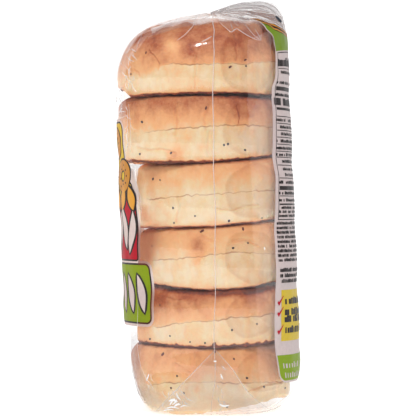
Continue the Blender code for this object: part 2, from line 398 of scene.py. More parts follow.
def half_widths(z):
    """Half widths of the film at a height: to the front, to the back and to either side."""
    tuck = tuck_share(z)
    return (
        FRONT_TO_BACK / 2 * foot_share(z, FOOT_FRONT) - TUCK_DEPTH_X * tuck,
        FRONT_TO_BACK / 2 * foot_share(z, FOOT_BACK) - TUCK_DEPTH_X * tuck,
        SIDE_TO_SIDE / 2 * foot_share(z, FOOT_SIDE) - TUCK_DEPTH_Y * tuck,
    )


def outside_film(points, margin):
    """Whether each point stands outside the film, or closer inside it than a margin."""
    z = np.clip(points[:, 2], 0.0, SHOULDER_HEIGHT)
    half_front, half_back, half_y = half_widths(z)
    power = squareness(z)
    across = points[:, 0] - stack_centre(z)
    half_x = np.where(across > 0, half_back, half_front) - margin
    along = points[:, 1]
    share = (np.abs(across / half_x) ** power + np.abs(along / (half_y - margin)) ** power) ** (1 / power)
    cosine = across / np.maximum(1e-6, np.hypot(across, along))
    roof = SHOULDER_HEIGHT + cap_rise(np.minimum(share, 1.0), cosine) - margin
    return (share > 1.0) | (points[:, 2] > np.maximum(roof, SHOULDER_HEIGHT - margin))


def inside_film(points, margin=0.0012):
    """Points moved in where they would stand outside the film, as the film presses the bread."""
    height = np.minimum(points[:, 2], SHOULDER_HEIGHT - 2 * margin)
    middle = np.stack([stack_centre(height), 0.0 * height, height], axis=-1)
    kept = np.ones(len(points))
    low, high = np.full(len(points), 0.5), np.ones(len(points))
    for _ in range(12):
        beyond = outside_film(middle + (points - middle) * kept[:, None], margin)
        high = np.where(beyond, kept, high)
        low = np.where(beyond, low, kept)
        kept = (low + high) / 2
    kept = np.where(outside_film(points, margin), kept, 1.0)
    return middle + (points - middle) * kept[:, None]


def film_surface(angle, level):
    """Points of the smooth film. Level is 0 at the base, 1 at the shoulder and 2 at the neck; below 0 it runs
    in to the middle of the base at -1. Angle 0 is at +X."""
    angle, level = np.broadcast_arrays(np.asarray(angle, float), np.asarray(level, float))
    z = np.clip(level, 0.0, 1.0) * SHOULDER_HEIGHT
    cap = 1.0 - (1.0 - NECK_SHARE) * np.clip(level - 1.0, 0.0, 1.0) ** CAP_CROWDING
    share = cap * (1.0 + np.clip(level, -1.0, 0.0))
    half_front, half_back, half_y = half_widths(z)
    power = 2.0 / squareness(z)
    c, s = np.cos(angle), np.sin(angle)
    x = np.sign(c) * np.abs(c) ** power * np.where(c > 0, half_back, half_front) * share
    y = np.sign(s) * np.abs(s) ** power * half_y * share
    centre = stack_centre(z) * cap + NECK_X * (1.0 - cap)
    return np.stack([centre + x, y, z + cap_rise(cap, c)], axis=-1)


def weld_angle(level):
    """Angle of the near weld, which has the other at the same angle on the far side."""
    z = min(max(level, 0.0), 1.0) * SHOULDER_HEIGHT
    offset = max(0.0, WELD_X_BOTTOM + WELD_X_SLOPE * z - float(stack_centre(z)))
    half_back = FRONT_TO_BACK / 2 * float(foot_share(z, FOOT_BACK))
    return math.acos((offset / half_back) ** (float(squareness(z)) / 2.0))


def surface_normals(angle, level):
    """Outward normals of the smooth film."""
    step = 1e-3
    along = film_surface(angle + step, level) - film_surface(angle - step, level)
    up = film_surface(angle, level + step) - film_surface(angle, level - step)
    return unit(np.cross(along, up))


def film_relief(angle, level, points):
    """How far the film stands off its smooth shape: gathers at the neck, slack, crumples over the
    shoulders, most of all at the back, and small upright wrinkles down the front and the back."""
    sideways = np.abs(np.cos(angle))
    folds = np.sin(9 * angle + 0.8) * 0.6 + np.sin(17 * angle + 2.1) * 0.4
    gathers = 0.0012 * smooth((level - 1.05) / 0.8) * folds
    slack = 0.00035 * wobble(points, 0.034, 5)
    around = np.stack([np.cos(angle) * 0.03, np.sin(angle) * 0.03, points[..., 2] * 0.35], axis=-1)
    crumples = 0.0008 * wobble(around, 0.006, 15, 2) + 0.0005 * wobble(points, 0.011, 17, 2)
    crumples *= smooth((level - 0.94) / 0.12) * smooth((1.9 - level) / 0.3) * smooth((sideways - 0.6) / 0.3)
    crumples *= 0.35 + 0.65 * smooth(np.cos(angle) / 0.3)
    wrinkled = 0.0003 * smooth((sideways - 0.55) / 0.3) * wobble(points * (1, 1, 0.3), 0.006, 9, 2)
    return (gathers + slack + crumples + wrinkled) * smooth((points[..., 2] - 0.001) / 0.012)


def film_points(angle, level, stand=0.0):
    """Points of the real, uneven film, or at a distance outside it."""
    angle, level = np.broadcast_arrays(np.asarray(angle, float), np.asarray(level, float))
    points = film_surface(angle, level)
    lift = film_relief(angle, level, points) + stand
    points = points + surface_normals(angle, level) * np.asarray(lift)[..., None]
    points[..., 2] = np.maximum(points[..., 2], 0.0)
    return points


EDGE_ON = 200.0            # film that shows smaller than this is seen edge-on, and places on it stay as found
SEARCH_ANGLES, SEARCH_LEVELS = np.meshgrid(
    np.linspace(-math.pi, 0.0, 241), np.concatenate([np.linspace(0.0, 1.0, 161), np.linspace(1.01, 1.96, 60)])
)


def shown_at(angles, levels):
    """The photo's pixels at which points of the smooth film show."""
    return np.stack(pixel_of(film_surface(angles, levels)), axis=-1)


def search_tree():
    """A tree of the pixels at which a grid of points of the near film shows."""
    tree = KDTree(SEARCH_ANGLES.size)
    for index, (column, row) in enumerate(shown_at(SEARCH_ANGLES, SEARCH_LEVELS).reshape(-1, 2)):
        tree.insert((column, row, 0.0), index)
    tree.balance()
    return tree


SEARCH_TREE = search_tree()


def film_place(places_px):
    """Angles and levels of the near film at pixels of the photograph."""
    wanted = np.atleast_2d(np.asarray(places_px, float))
    nearest = [SEARCH_TREE.find((column, row, 0.0))[1] for column, row in wanted]
    angles, levels = SEARCH_ANGLES.flat[nearest], SEARCH_LEVELS.flat[nearest]
    step = 1e-4
    for _ in range(3):
        here = shown_at(angles, levels)
        (ax, ay), (lx, ly), (x, y) = (
            ((shown_at(angles + step, levels) - here) / step).T,
            ((shown_at(angles, levels + step) - here) / step).T,
            (wanted - here).T,
        )
        area = ax * ly - ay * lx
        area = np.where(np.abs(area) < EDGE_ON, np.inf, area)
        angles = angles + np.clip((x * ly - y * lx) / area, -0.02, 0.02)
        levels = levels + np.clip((ax * y - ay * x) / area, -0.01, 0.01)
    return angles, np.clip(levels, 0.0, 1.98)


# ---- Small helpers for meshes and materials -----------------------------------------------------------
def linked(name, data):
    """A new object in the scene."""
    obj = bpy.data.objects.new(name, data)
    bpy.context.scene.collection.objects.link(obj)
    return obj


def new_object(name, points, faces, material):
    """A smooth-shaded mesh object in the scene."""
    mesh = bpy.data.meshes.new(name)
    mesh.from_pydata([tuple(p) for p in points], [], [tuple(f) for f in faces])
    mesh.materials.append(material)
    mesh.shade_smooth()
    mesh.update()
    return linked(name, mesh)


def piece(obj):
    """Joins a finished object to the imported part."""
    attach(obj, "root")
    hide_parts(NODE)
    return obj


def grid_faces(rows, columns, closed=False):
    """Quads between rows of points, round each row if closed."""
    faces = []
    for row in range(0, (rows - 1) * columns, columns):
        for c in range(columns if closed else columns - 1):
            ahead = (c + 1) % columns
            faces.append((row + c, row + ahead, row + columns + ahead, row + columns + c))
    return faces


def add(tree, kind, inputs=None, **settings):
    """Adds a node, with its settings, its input values and its links."""
    node = tree.nodes.new(kind)
    for key, value in settings.items():
        setattr(node, key, value)
    for key, value in (inputs or {}).items():
        socket = node.inputs[key]
        if isinstance(value, bpy.types.NodeSocket):
            tree.links.new(value, socket)
        else:
            socket.default_value = value
    return node


def new_material(name):
    """An empty material and its tree."""
    material = bpy.data.materials.new(name)
    material.use_nodes = True
    material.node_tree.nodes.clear()
    return material, material.node_tree


def finished(material, shader):
    """The material, with its shader joined to its surface."""
    add(material.node_tree, "ShaderNodeOutputMaterial", {"Surface": shader})
    return material


def maths(tree, operation, *values, clamped=False):
    """The result of an operation on values and sockets."""
    node = add(tree, "ShaderNodeMath", dict(enumerate(values)), operation=operation, use_clamp=clamped)
    return node.outputs[0]


def object_place(tree):
    return add(tree, "ShaderNodeTexCoord").outputs["Object"]


def noise_of(tree, place, scale, detail, roughness=0.5):
    """Noise from 0 to 1, with bumps of about one over the scale in metres."""
    inputs = {"Vector": place, "Scale": scale, "Detail": detail, "Roughness": roughness}
    return add(tree, "ShaderNodeTexNoise", inputs).outputs["Fac"]


def mapped(tree, value, start, end, first, last):
    """A value moved from one range into another."""
    inputs = {"Value": value, "From Min": start, "From Max": end, "To Min": first, "To Max": last}
    return add(tree, "ShaderNodeMapRange", inputs).outputs[0]


def read(tree, name):
    """The value that the mesh gives under a name."""
    return add(tree, "ShaderNodeAttribute", attribute_name=name).outputs["Fac"]


def bumped(tree, height, strength):
    inputs = {"Strength": strength, "Distance": 0.0006, "Height": height}
    return add(tree, "ShaderNodeBump", inputs).outputs[0]


def mixed_colour(tree, share, first, second):
    node = add(tree, "ShaderNodeMix", {"Factor": share, "A": first, "B": second}, data_type="RGBA")
    return node.outputs["Result"]


def mixed(tree, share, first, second):
    """Two shaders, by the second's share."""
    return add(tree, "ShaderNodeMixShader", {0: share, 1: first, 2: second}).outputs[0]


def made(tree, kind, inputs):
    """The first output of a new node. In the names of its inputs, an underscore stands for a space."""
    return add(tree, kind, {name.replace("_", " "): value for name, value in inputs.items()}).outputs[0]


def bsdf(tree, kind, **inputs):
    return made(tree, "ShaderNodeBsdf" + kind, inputs)


def geometry(tree, kind, **inputs):
    return made(tree, "GeometryNode" + kind, inputs)


def ramp(tree, factor, *stops):
    """A colour ramp through (place, hex colour) stops."""
    node = add(tree, "ShaderNodeValToRGB", {"Fac": factor})
    elements = node.color_ramp.elements
    while len(elements) < len(stops):
        elements.new(0.5)
    for element, (place, colour) in zip(elements, stops):
        element.position = place
        element.color = linear(colour)
    return node.outputs["Color"]


# ---- Materials ----------------------------------------------------------------------------------------
def baked_crust():
    """Baked wheat dough that was boiled first: a golden-brown skin with a dull shine, mottled by blisters,
    over paler, drier sides. The mesh says how brown each place is, with painted shade and light added in,
    how far above the slice line it lies and how open that line is."""
    material, tree = new_material("baked_bagel_crust")
    place = object_place(tree)
    brown, above, open_here = (read(tree, name) for name in ("browning_and_painted_light", "above_cut", "cut_open"))
    mottle, blotch = noise_of(tree, place, 480.0, 5.0, 0.7), noise_of(tree, place, 130.0, 3.0)
    uneven = maths(tree, "SUBTRACT", maths(tree, "ADD", mottle, blotch), 1.0)
    # Browner crust is mottled more
    spread = maths(tree, "MULTIPLY_ADD", brown, 0.20, 0.22)
    crust = ramp(
        tree, maths(tree, "MULTIPLY_ADD", uneven, spread, brown),
        (0.0, "#F3DEBC"), (0.10, "#F0D2A6"), (0.28, "#F3BC87"), (0.45, "#EBAB78"), (0.60, "#D69263"),
        (0.78, "#B8663F"), (0.90, "#93482E"), (0.96, "#7A4032"), (1.0, "#66382E"),
    )
    # The slice line: a thin dark line along the cut, darker and wider where it is open: painted shade in the
    # slit
    wavering = maths(tree, "MULTIPLY_ADD", noise_of(tree, place, 260.0, 2.0), 0.9, above)
    distance = maths(tree, "ABSOLUTE", maths(tree, "SUBTRACT", wavering, 0.45))
    width, depth = (maths(tree, "MULTIPLY", open_here, value) for value in (0.72, 0.85))
    line = mapped(tree, distance, 0.0, width, depth, 0.0)
    colour = mixed_colour(tree, line, crust, linear("#A8582A"))
    rough_skin = maths(tree, "MULTIPLY_ADD", noise_of(tree, place, 1300.0, 3.0), 0.35, mottle)
    return finished(material, bsdf(
        tree, "Principled", Base_Color=colour, Roughness=0.62, IOR=1.4, Normal=bumped(tree, rough_skin, 0.45),
        Subsurface_Weight=0.35, Subsurface_Radius=(0.004, 0.0018, 0.0008), Subsurface_Scale=1.0,
    ))


def plain_finish(name, colour, roughness, mottling, scale=900.0, gloss=0.5, lets_through=0.0, shades=True):
    """A matte or glossy solid with slight unevenness in its colour, or a thin coat that lets some light
    through, and that may leave what lies behind it unshaded."""
    material, tree = new_material(name)
    speckle = noise_of(tree, object_place(tree), scale, 3.0)
    shade = mapped(tree, speckle, 0.25, 0.75, 1.0 - mottling, 1.0 + mottling)
    tint = add(tree, "ShaderNodeHueSaturation", {"Value": shade, "Color": list(colour)}).outputs[0]
    coat = bsdf(tree, "Principled", Base_Color=tint, Roughness=roughness, Specular_IOR_Level=gloss)
    if lets_through:
        coat = mixed(tree, lets_through, coat, bsdf(tree, "Translucent", Color=tint))
    if not shades:
        rays = add(tree, "ShaderNodeLightPath").outputs
        lighting = maths(tree, "MAXIMUM", rays["Is Shadow Ray"], rays["Is Diffuse Ray"])
        coat = mixed(tree, lighting, coat, bsdf(tree, "Transparent", Color=WHITE))
    return finished(material, coat)


def film_ink(name, colour, lets_through=0.20, shades=True):
    """Flexographic ink on film: a flat, thin coat with a satin gloss and the film's slight unevenness."""
    colour = linear(colour) if isinstance(colour, str) else colour
    return plain_finish(name, colour, 0.42, 0.05, 500.0, 0.25, lets_through, shades)


def front_ink(name, colour, lets_through=0.20):
    """Thin ink on the front panel, which doesn't shade the bread behind."""
    return film_ink(name, colour, lets_through, shades=False)


def clear_film(name, haze, haze_colour="#E8DEDC", gloss_ior=1.55, edge_haze=0.16):
    """Blown polyethylene film, 30 microns thick: clear, with a wet gloss on both faces and a little haze,
    which grows where it is seen edge-on. One surface stands for both faces, so its index of refraction is
    set higher, and its gloss is held down at a slant."""
    material, tree = new_material(name)
    place = object_place(tree)
    ripple = bumped(tree, noise_of(tree, place, 160.0, 2.0), 0.10)
    # Drawing the film leaves upright streaks, about 3 mm apart, that are a little cloudier
    upright = add(tree, "ShaderNodeMapping", {"Vector": place, "Scale": (330.0, 330.0, 14.0)}).outputs[0]
    cloudy = mapped(tree, noise_of(tree, upright, 1.0, 2.0), 0.45, 0.75, haze, haze + 0.02)
    facing = add(tree, "ShaderNodeLayerWeight", {"Blend": 0.5}).outputs["Facing"]
    haze_here = maths(tree, "ADD", cloudy, mapped(tree, facing, 0.55, 1.0, 0.0, edge_haze), clamped=True)
    clear, cloud = bsdf(tree, "Transparent", Color=WHITE), bsdf(tree, "Diffuse", Color=linear(haze_colour))
    gloss = bsdf(tree, "Principled", Base_Color=WHITE, Metallic=1.0, Roughness=0.06, Normal=ripple)
    sheen = add(tree, "ShaderNodeFresnel", {"IOR": gloss_ior}).outputs[0]
    held = maths(tree, "MINIMUM", sheen, 0.28)
    return finished(material, mixed(tree, held, mixed(tree, haze_here, clear, cloud), gloss))


def painted_shade_film(name, colour):
    """Film with painted shade, darker and warmer where the mesh says."""
    material, tree = new_material(name)
    seen = mixed_colour(tree, read(tree, "strength"), WHITE, linear(colour))
    return finished(material, bsdf(tree, "Transparent", Color=seen))


def film_tint(name, colour):
    """A diffuse haze in one colour on the film, as strong at each place as the mesh says. It is used for film
    haze, for painted sheen and for painted shade, and it throws no shadow on the bread."""
    material, tree = new_material(name)
    lit = maths(tree, "SUBTRACT", 1.0, add(tree, "ShaderNodeLightPath").outputs["Is Shadow Ray"])
    seen = maths(tree, "MULTIPLY", read(tree, "strength"), lit)
    clear, cloud = bsdf(tree, "Transparent", Color=WHITE), bsdf(tree, "Diffuse", Color=linear(colour))
    return finished(material, mixed(tree, seen, clear, cloud))


# ---- Bagels -------------------------------------------------------------------------------------------
def corner(centre, radii, start, end, count=24):
    """Points of an elliptical corner between two angles in degrees."""
    angles = np.radians(np.linspace(start, end, count))
    return np.stack([centre[0] + radii[0] * np.cos(angles), centre[1] + radii[1] * np.sin(angles)], axis=-1)


def spaced(path, count, crowding):
    """A closed path resampled without its repeated end, with points closer where crowding is higher."""
    steps = np.linalg.norm(np.diff(path, axis=0), axis=1) * (crowding(path[1:]) + crowding(path[:-1])) / 2
    run = np.concatenate([[0.0], np.cumsum(steps)])
    places = np.linspace(0.0, run[-1], count + 1)[:-1]
    return np.stack([np.interp(places, run, path[:, k]) for k in (0, 1)], axis=-1)


def bagel_section(width, height, top_corner, count):
    """Cross-section of a bagel's ring as shares of its width, from the hole outwards, and of its height."""
    hole_top, hole_base = (0.011, 0.012), (0.006, 0.007)
    (top_across, top_down), (base_across, base_up) = top_corner, BASE_CORNER
    path = np.concatenate([
        corner((hole_top[0], height - hole_top[1]), hole_top, 180, 90),
        corner((width - top_across, height - top_down), top_corner, 90, 0),
        corner((width - base_across, base_up), BASE_CORNER, 0, -90),
        corner(hole_base, hole_base, 270, 180),
    ])
    path = np.concatenate([path, path[:1]])
    steps = np.linspace(0.0, 1.0, 9)[1:, None]
    between = [here + (there - here) * steps for here, there in zip(path, path[1:])]
    dense = np.concatenate([path[:1]] + between)
    ring = spaced(dense, count, lambda places: 1.0 + 3.5 * smooth((places[:, 0] / width - 0.55) / 0.3))
    return ring / (width, height)


def line_fit(line_px, degree):
    """A smooth curve through a line's heights at the stations, as a function of the pixel column."""
    fitted = np.polynomial.Polynomial.fit(STATIONS_PX, line_px, degree)
    return lambda px: fitted(np.clip(px, STATIONS_PX[0] - 8, STATIONS_PX[-1] + 8))


def distance_to_line(places, line):
    """Distance from each place to the nearest point of a line, in the line's own units."""
    best = np.full(len(places), np.inf)
    for a, b in zip(np.asarray(line[:-1], float), np.asarray(line[1:], float)):
        share = np.clip(((places - a) @ (b - a)) / ((b - a) @ (b - a)), 0, 1)
        best = np.minimum(best, np.linalg.norm(places - a - share[:, None] * (b - a), axis=1))
    return best


def marks(points):
    """How far creases press the near side of a bagel in, and how much browner its marks are: blotches, among
    them painted shade and a painted highlight, and painted shade in the creases.
    """
    press, brown = np.zeros(len(points)), np.zeros(len(points))
    near = points[:, 1] < MARKED_Y
    fade = smooth((MARKED_Y - points[near, 1]) / 0.012)
    places = np.stack(pixel_of(points[near]), axis=-1)
    mm_per_px = (CAMERA_DISTANCE + BAG_DEPTH_Y) / FOCAL_PX / MM
    wander = 0.9 * np.stack([wobble(points[near], 0.004, 71, 2), wobble(points[near], 0.004, 73, 2)], axis=-1)
    for depth, width, browner, line in DOUGH_CREASES_PX:
        away = distance_to_line(places + wander, line) * mm_per_px / width
        lip = 0.35 * np.exp(-((away - 1.8) / 0.9) ** 2)
        press[near] -= fade * depth * MM * (np.exp(-away ** 2) - lip)
        brown[near] += fade * browner * np.exp(-(away * 1.3) ** 2)
    for px, py, radius, browner in BLOTCHES_AND_PAINTED_LIGHT_PX:
        away = np.linalg.norm(places + 1.5 * wander - (px, py), axis=1) / radius
        brown[near] += fade * browner * np.exp(-away ** 2)
    return press, brown


def bagel_points(index, sizes):
    """Points of one smooth bagel, where each lies on it, and the grid that they make."""
    left, right = (seen_at(px, 0, 0.0)[0] for px in EDGES_PX[index])
    centre_x, half_x = (left + right) / 2, (right - left) / 2
    half_y = sizes.bagel_half_depth
    around = int(sizes.bagel_segments)
    across = around // 3
    turn = 2 * math.pi * np.arange(around) / around
    turn = turn - NEAR_CROWDING * np.sin(turn)
    top_line, base_line = line_fit(SEAM_LINES_PX[index], 2), line_fit(SEAM_LINES_PX[index + 1], 2)
    cut_line = line_fit(CUT_LINES_PX[index], 3)

    out_x, out_y = np.sin(turn), -np.cos(turn)
    lumps = wobble(np.stack([out_x, out_y, 0 * turn + index], axis=-1), 0.55, index + 3)
    radius_x = half_x * (1 + 0.012 * lumps * np.abs(out_y))
    radius_y = half_y * (1 + 0.014 * lumps * np.abs(out_y))
    near_y = -np.abs(radius_y * out_y)
    column = pixel_column(centre_x + radius_x * out_x, near_y)
    z_top, z_base, z_cut = (seen_at(0, line(column), near_y)[1] for line in (top_line, base_line, cut_line))
    if index == len(BAGEL_HEIGHTS) - 1:
        z_base = np.maximum(z_base, LOWEST_BASE)

    hole = sizes.hole_radius * (1 + 0.12 * lumps)
    width, height = (half_x + half_y) / 2 - sizes.hole_radius, float(np.mean(z_top - z_base))
    section = bagel_section(width, height, TOP_CORNERS[index], across)
    level = section[:, 1][:, None]
    inset = 1 - section[:, 0][:, None]
    corner_inset = np.where(level > 0.5, TOP_CORNERS[index][0], BASE_CORNER[0]) / width
    kept = 1 - (1 - PRESSED_CORNER) * out_y ** 2 * np.where(level > 0.5, index > 0, 0.7)
    t = inset / corner_inset
    share = 1 - np.where(t < 1, corner_inset * (kept * t + (1 - kept) * t ** 3), inset)
    x = centre_x + out_x * (hole + share * (radius_x - hole))
    y = out_y * (hole + share * (radius_y - hole))
    gap_above, gap_below = (0, *SEAM_GAPS, 0)[index:index + 2]
    rise = z_top - z_base
    z = z_base + level * rise + smooth((share - 0.70) / 0.22) * (gap_below * (1 - level) - gap_above * level)
    if index == 0:
        turned = smooth((EDGES_PX[0][0] + TURNED_UP[1] - column) / TURNED_UP[1]) ** 2
        z = z + TURNED_UP[0] * turned * (1 - level) * smooth((share - 0.45) / 0.55) ** 2
        fuller, start, reach = FULLER_BACK
        z = z + fuller * smooth((column - start) / reach) * (level > 0.5) * np.clip(4 * t * (1 - t), 0, 1)
    points = np.stack([x, y, z], axis=-1).reshape(-1, 3)
    spots = {
        "share": share, "above": z - z_cut, "over_base": level * rise, "under_top": (1 - level) * rise,
        "columns": column,
    }
    spots = {name: np.broadcast_to(values, z.shape).ravel() for name, values in spots.items()}
    return points, spots, (across, around)


def bagel_looks(index, points, share, above, over_base, under_top, columns):
    """How far a bagel's crust is pushed out at each point, and the values that its material reads. Each
    point lies at a share of the way from the hole to the rim, some metres above the slice line, over the base
    and under the top, and at a column of the photograph."""
    outer = smooth((share - 0.55) / 0.3)
    broad = wobble(points, 0.022, index + 11, 2)
    middle = wobble(points, 0.007, index + 23, 2)
    fine = wobble(points, 0.0022, index + 31, 1)
    level_points = points * (1, 1, 0)
    wide, close = wobble(level_points, 0.011, index + 41, 3), wobble(level_points, 0.0028, index + 43, 2)
    above = above + outer * (0.0008 * wide + 0.0007 * close)

    # The slice line opens and closes along its length, and on the left it shows no more
    patchy = 0.75 + 0.55 * wobble(level_points, 0.012, index + 47, 2)
    fade, fade_reach = CUT_FADES_PX[index]
    cut_open = np.clip(patchy, 0.55, 1.0) * smooth((columns - fade) / fade_reach)
    closed_up = 1 - smooth((columns - fade + fade_reach) / (2 * fade_reach))
    over_line = above + closed_up * CLOSED_DROPS[index]
    upper = smooth(over_line / (0.0007 + 0.0070 * closed_up) + 0.5 * closed_up)
    # The upper half overhangs the slice line a little, and the lower half has soft upright folds
    folds = wobble(points * (1, 1, 0.15), 0.006, index + 53, 2)
    push = 0.0007 * broad + 0.00042 * middle + 0.00017 * fine
    push += outer * (0.00028 * upper * np.exp(-np.maximum(above, 0) / 0.006) + 0.00048 * folds * (1 - upper))
    push += outer * cut_open * 0.00012 * np.exp(-((above + 0.0015) / 0.0007) ** 2)

    over_cut = np.where(share > 0.5, np.clip(above / 0.017, 0, 1), 1.0)
    low_brown, high_brown = CRUST_BROWNING[index]
    top_brown = low_brown + (high_brown - low_brown) * over_cut + 0.07 * broad + 0.08 * middle
    # Both rims are rough where they met the next bagel, and darker: toasted crust and painted shade of the
    # seam
    toast_and_shade, rim_band_height, rim_band_wander = BASE_TOAST_AND_SHADE_MM[index]
    ragged = wobble(level_points, 0.0042, index + 61, 3)
    rim_height = MM * (rim_band_height + rim_band_wander * ragged)
    push += outer * 0.0007 * ragged * smooth(1 - over_base / 0.004)
    # Painted shade: each bagel under another is darker at its top edge and in a band below it
    left_band, right_band, band_shade = TOP_SHADE_MM[index]
    band = MM * (left_band + (right_band - left_band) * smooth((columns - 190) / 40) + 0.2 * ragged)
    rim = outer * (index > 0) * 0.16 * smooth((0.0008 + 0.0008 * ragged - under_top) / 0.0008 + 0.5)
    shaded_top = rim + outer * band_shade * smooth(1.2 * (1 - under_top / band))
    side_brown = 0.06 + 0.05 * broad + 0.08 * middle + 0.06 * folds * outer
    # Painted shade of the seam: each bagel but the lowest is browner just over its base
    lowest = index == len(BAGEL_HEIGHTS) - 1
    side_brown += outer * (0.0 if lowest else 0.20) * smooth(1 - over_base / (0.0050 + 0.0020 * middle))
    toasted_and_shaded = toast_and_shade * smooth((rim_height - over_base) / 0.0010 + 0.5) * smooth((columns - 118) / 14)
    side_brown += 0.18 * (1 - outer) * smooth(1 - over_base / 0.0012)
    inner_wall = 1 - smooth((share - 0.1) / 0.25)
    paled = inner_wall * smooth(under_top / 0.012)
    top_brown = top_brown * (1 - paled) + 0.25 * paled
    pressed, browner = marks(points)
    push += pressed
    # Painted shade on the left flanks, and painted light where the value is negative
    flank, reach, flank_shade = FLANK_SHADE_PX[index]
    browner += flank_shade * (1 - smooth((columns - flank) / reach)) * outer
    top_brown, side_brown = (np.minimum(value + browner, DEEPEST_BROWN) for value in (top_brown, side_brown))
    browning_and_painted_light = side_brown + (top_brown + shaded_top - side_brown) * upper + outer * toasted_and_shaded
    browning_and_painted_light = np.minimum(browning_and_painted_light, CHARRED_BROWN)
    return push, {"browning_and_painted_light": browning_and_painted_light, "above_cut": above / MM, "cut_open": cut_open}


def give(mesh, name, values, kind="FLOAT", key="value"):
    """Gives a mesh's points values that a material or a node tree reads under a name."""
    data = mesh.attributes.new(name, kind, "POINT").data
    data.foreach_set(key, np.asarray(values, np.float32).ravel())


def make_bagel(index, sizes, material):
    points, spots, (rows, columns) = bagel_points(index, sizes)
    push, looks = bagel_looks(index, points, **spots)
    faces = [(a, d, c, b) for a, b, c, d in grid_faces(rows, columns, closed=True)]
    last = (rows - 1) * columns
    faces += [(last + c, c, (c + 1) % columns, last + (c + 1) % columns) for c in range(columns)]
    obj = new_object(f"bagel_{index + 1}", points, faces, material)
    repair(obj)
    mesh = obj.data
    normals = np.zeros(len(points) * 3, np.float32)
    mesh.vertices.foreach_get("normal", normals)
    moved = inside_film(points + normals.reshape(-1, 3) * push[:, None])
    mesh.vertices.foreach_set("co", moved.astype(np.float32).ravel())
    for name, values in looks.items():
        give(mesh, name, values)
    mesh.update()
    return obj


# ---- Scattered seeds and onion flakes -----------------------------------------------------------------
def open_tree(name, output, *inputs):
    """A geometry node tree with its inputs, each by its name, kind and usual value, and one output. Returns
    the tree, the inputs' sockets in it, and by name the identifiers that a modifier knows them by."""
    tree = bpy.data.node_groups.new(name, "GeometryNodeTree")
    known = {}
    for label, kind, value in (("Carrier", "Geometry", None), *inputs, ("Seed", "Int", 1)):
        item = tree.interface.new_socket(label, in_out="INPUT", socket_type="NodeSocket" + kind)
        if value is not None:
            item.default_value = value
        known[label] = item.identifier
    tree.interface.new_socket(output, in_out="OUTPUT", socket_type="NodeSocketGeometry")
    return tree, add(tree, "NodeGroupInput").outputs, known


def closed_tree(tree, output, material, points, instance, **inputs):
    """Ends a tree with an instance on each point, made real and in its material."""
    instances = geometry(tree, "InstanceOnPoints", Points=points, Instance=instance, **inputs)
    real = geometry(tree, "RealizeInstances", Geometry=instances)
    add(tree, "NodeGroupOutput", {output: geometry(tree, "SetMaterial", Geometry=real, Material=material)})


def chance_value(tree, seed, kind, output, **inputs):
    """A value between Min and Max, or a yes of some Probability, drawn for each point."""
    return add(tree, "FunctionNodeRandomValue", {**inputs, "Seed": seed}, data_type=kind).outputs[output]


def named_value(tree, name, kind):
    return add(tree, "GeometryNodeInputNamedAttribute", {"Name": name}, data_type=kind).outputs[0]


def grain_tree(name, material, placed):
    """Geometry nodes that make small grains, scattered over a surface or set on points that face some way."""
    tree, given, known = open_tree(
        name, "Grains", ("Density", "Float", 2000.0), ("Length", "Float", 0.0016), ("Width", "Float", 0.0013),
        ("Thickness", "Float", 0.0011),
    )
    if placed:
        points, facing = given["Carrier"], named_value(tree, "facing", "FLOAT_VECTOR")
        rotation = add(tree, "FunctionNodeAlignRotationToVector", {"Vector": facing}, axis="Z").outputs[0]
    else:
        density = maths(tree, "MULTIPLY", given["Density"], named_value(tree, "scattered", "FLOAT"))
        inputs = {"Mesh": given["Carrier"], "Density": density, "Seed": given["Seed"]}
        spread = add(tree, "GeometryNodeDistributePointsOnFaces", inputs).outputs
        points, rotation = spread["Points"], spread["Rotation"]
    ball = geometry(tree, "MeshIcoSphere", Radius=0.5, Subdivisions=2)
    sides = {"X": given["Length"], "Y": given["Width"], "Z": given["Thickness"]}
    size = add(tree, "ShaderNodeCombineXYZ", sides).outputs[0]
    spin = chance_value(tree, given["Seed"], "FLOAT_VECTOR", "Value", Min=(0, 0, 0), Max=(0.5, 0.5, 6.28))
    both = {"Rotation": rotation, "Rotate By": spin}
    turn = add(tree, "FunctionNodeRotateRotation", both, rotation_space="LOCAL").outputs[0]
    scale = chance_value(tree, given["Seed"], "FLOAT", 1, Min=0.75, Max=1.15)
    formed = geometry(tree, "Transform", Geometry=ball, Scale=size)
    closed_tree(tree, "Grains", material, points, formed, Rotation=turn, Scale=scale)
    return tree, known


def seen_points(surface, places_px):
    """A mesh of points where the camera's rays through pixels of the photograph first meet a surface."""
    eye = Vector((CAMERA_X, -CAMERA_DISTANCE, CAMERA_HEIGHT))
    tree = BVHTree.FromPolygons([v.co for v in surface.vertices], [p.vertices for p in surface.polygons])
    hits = []
    for px, py in places_px:
        x, z = seen_at(px, py, 0.0)
        place, facing, _, _ = tree.ray_cast(eye, Vector((x, 0.0, z)) - eye)
        if place is not None:
            hits.append((place, facing))
    mesh = bpy.data.meshes.new("seen_points")
    mesh.from_pydata([place for place, _ in hits], [], [])
    give(mesh, "facing", [facing for _, facing in hits], "FLOAT_VECTOR", "vector")
    return mesh


def grains(name, surface, places_px, material, **values):
    """One piece of grains: those that the photograph shows, and others scattered over a surface."""
    seen = from_nodes(*grain_tree(name, material, True), seen_points(surface, places_px), values)
    rest = from_nodes(*grain_tree(name, material, False), surface.copy(), values)
    both = bmesh.new()
    both.from_mesh(seen)
    both.from_mesh(rest)
    mesh = bpy.data.meshes.new(name)
    both.to_mesh(mesh)
    both.free()
    mesh.materials.append(material)
    mesh.shade_smooth()
    return linked(name, mesh)


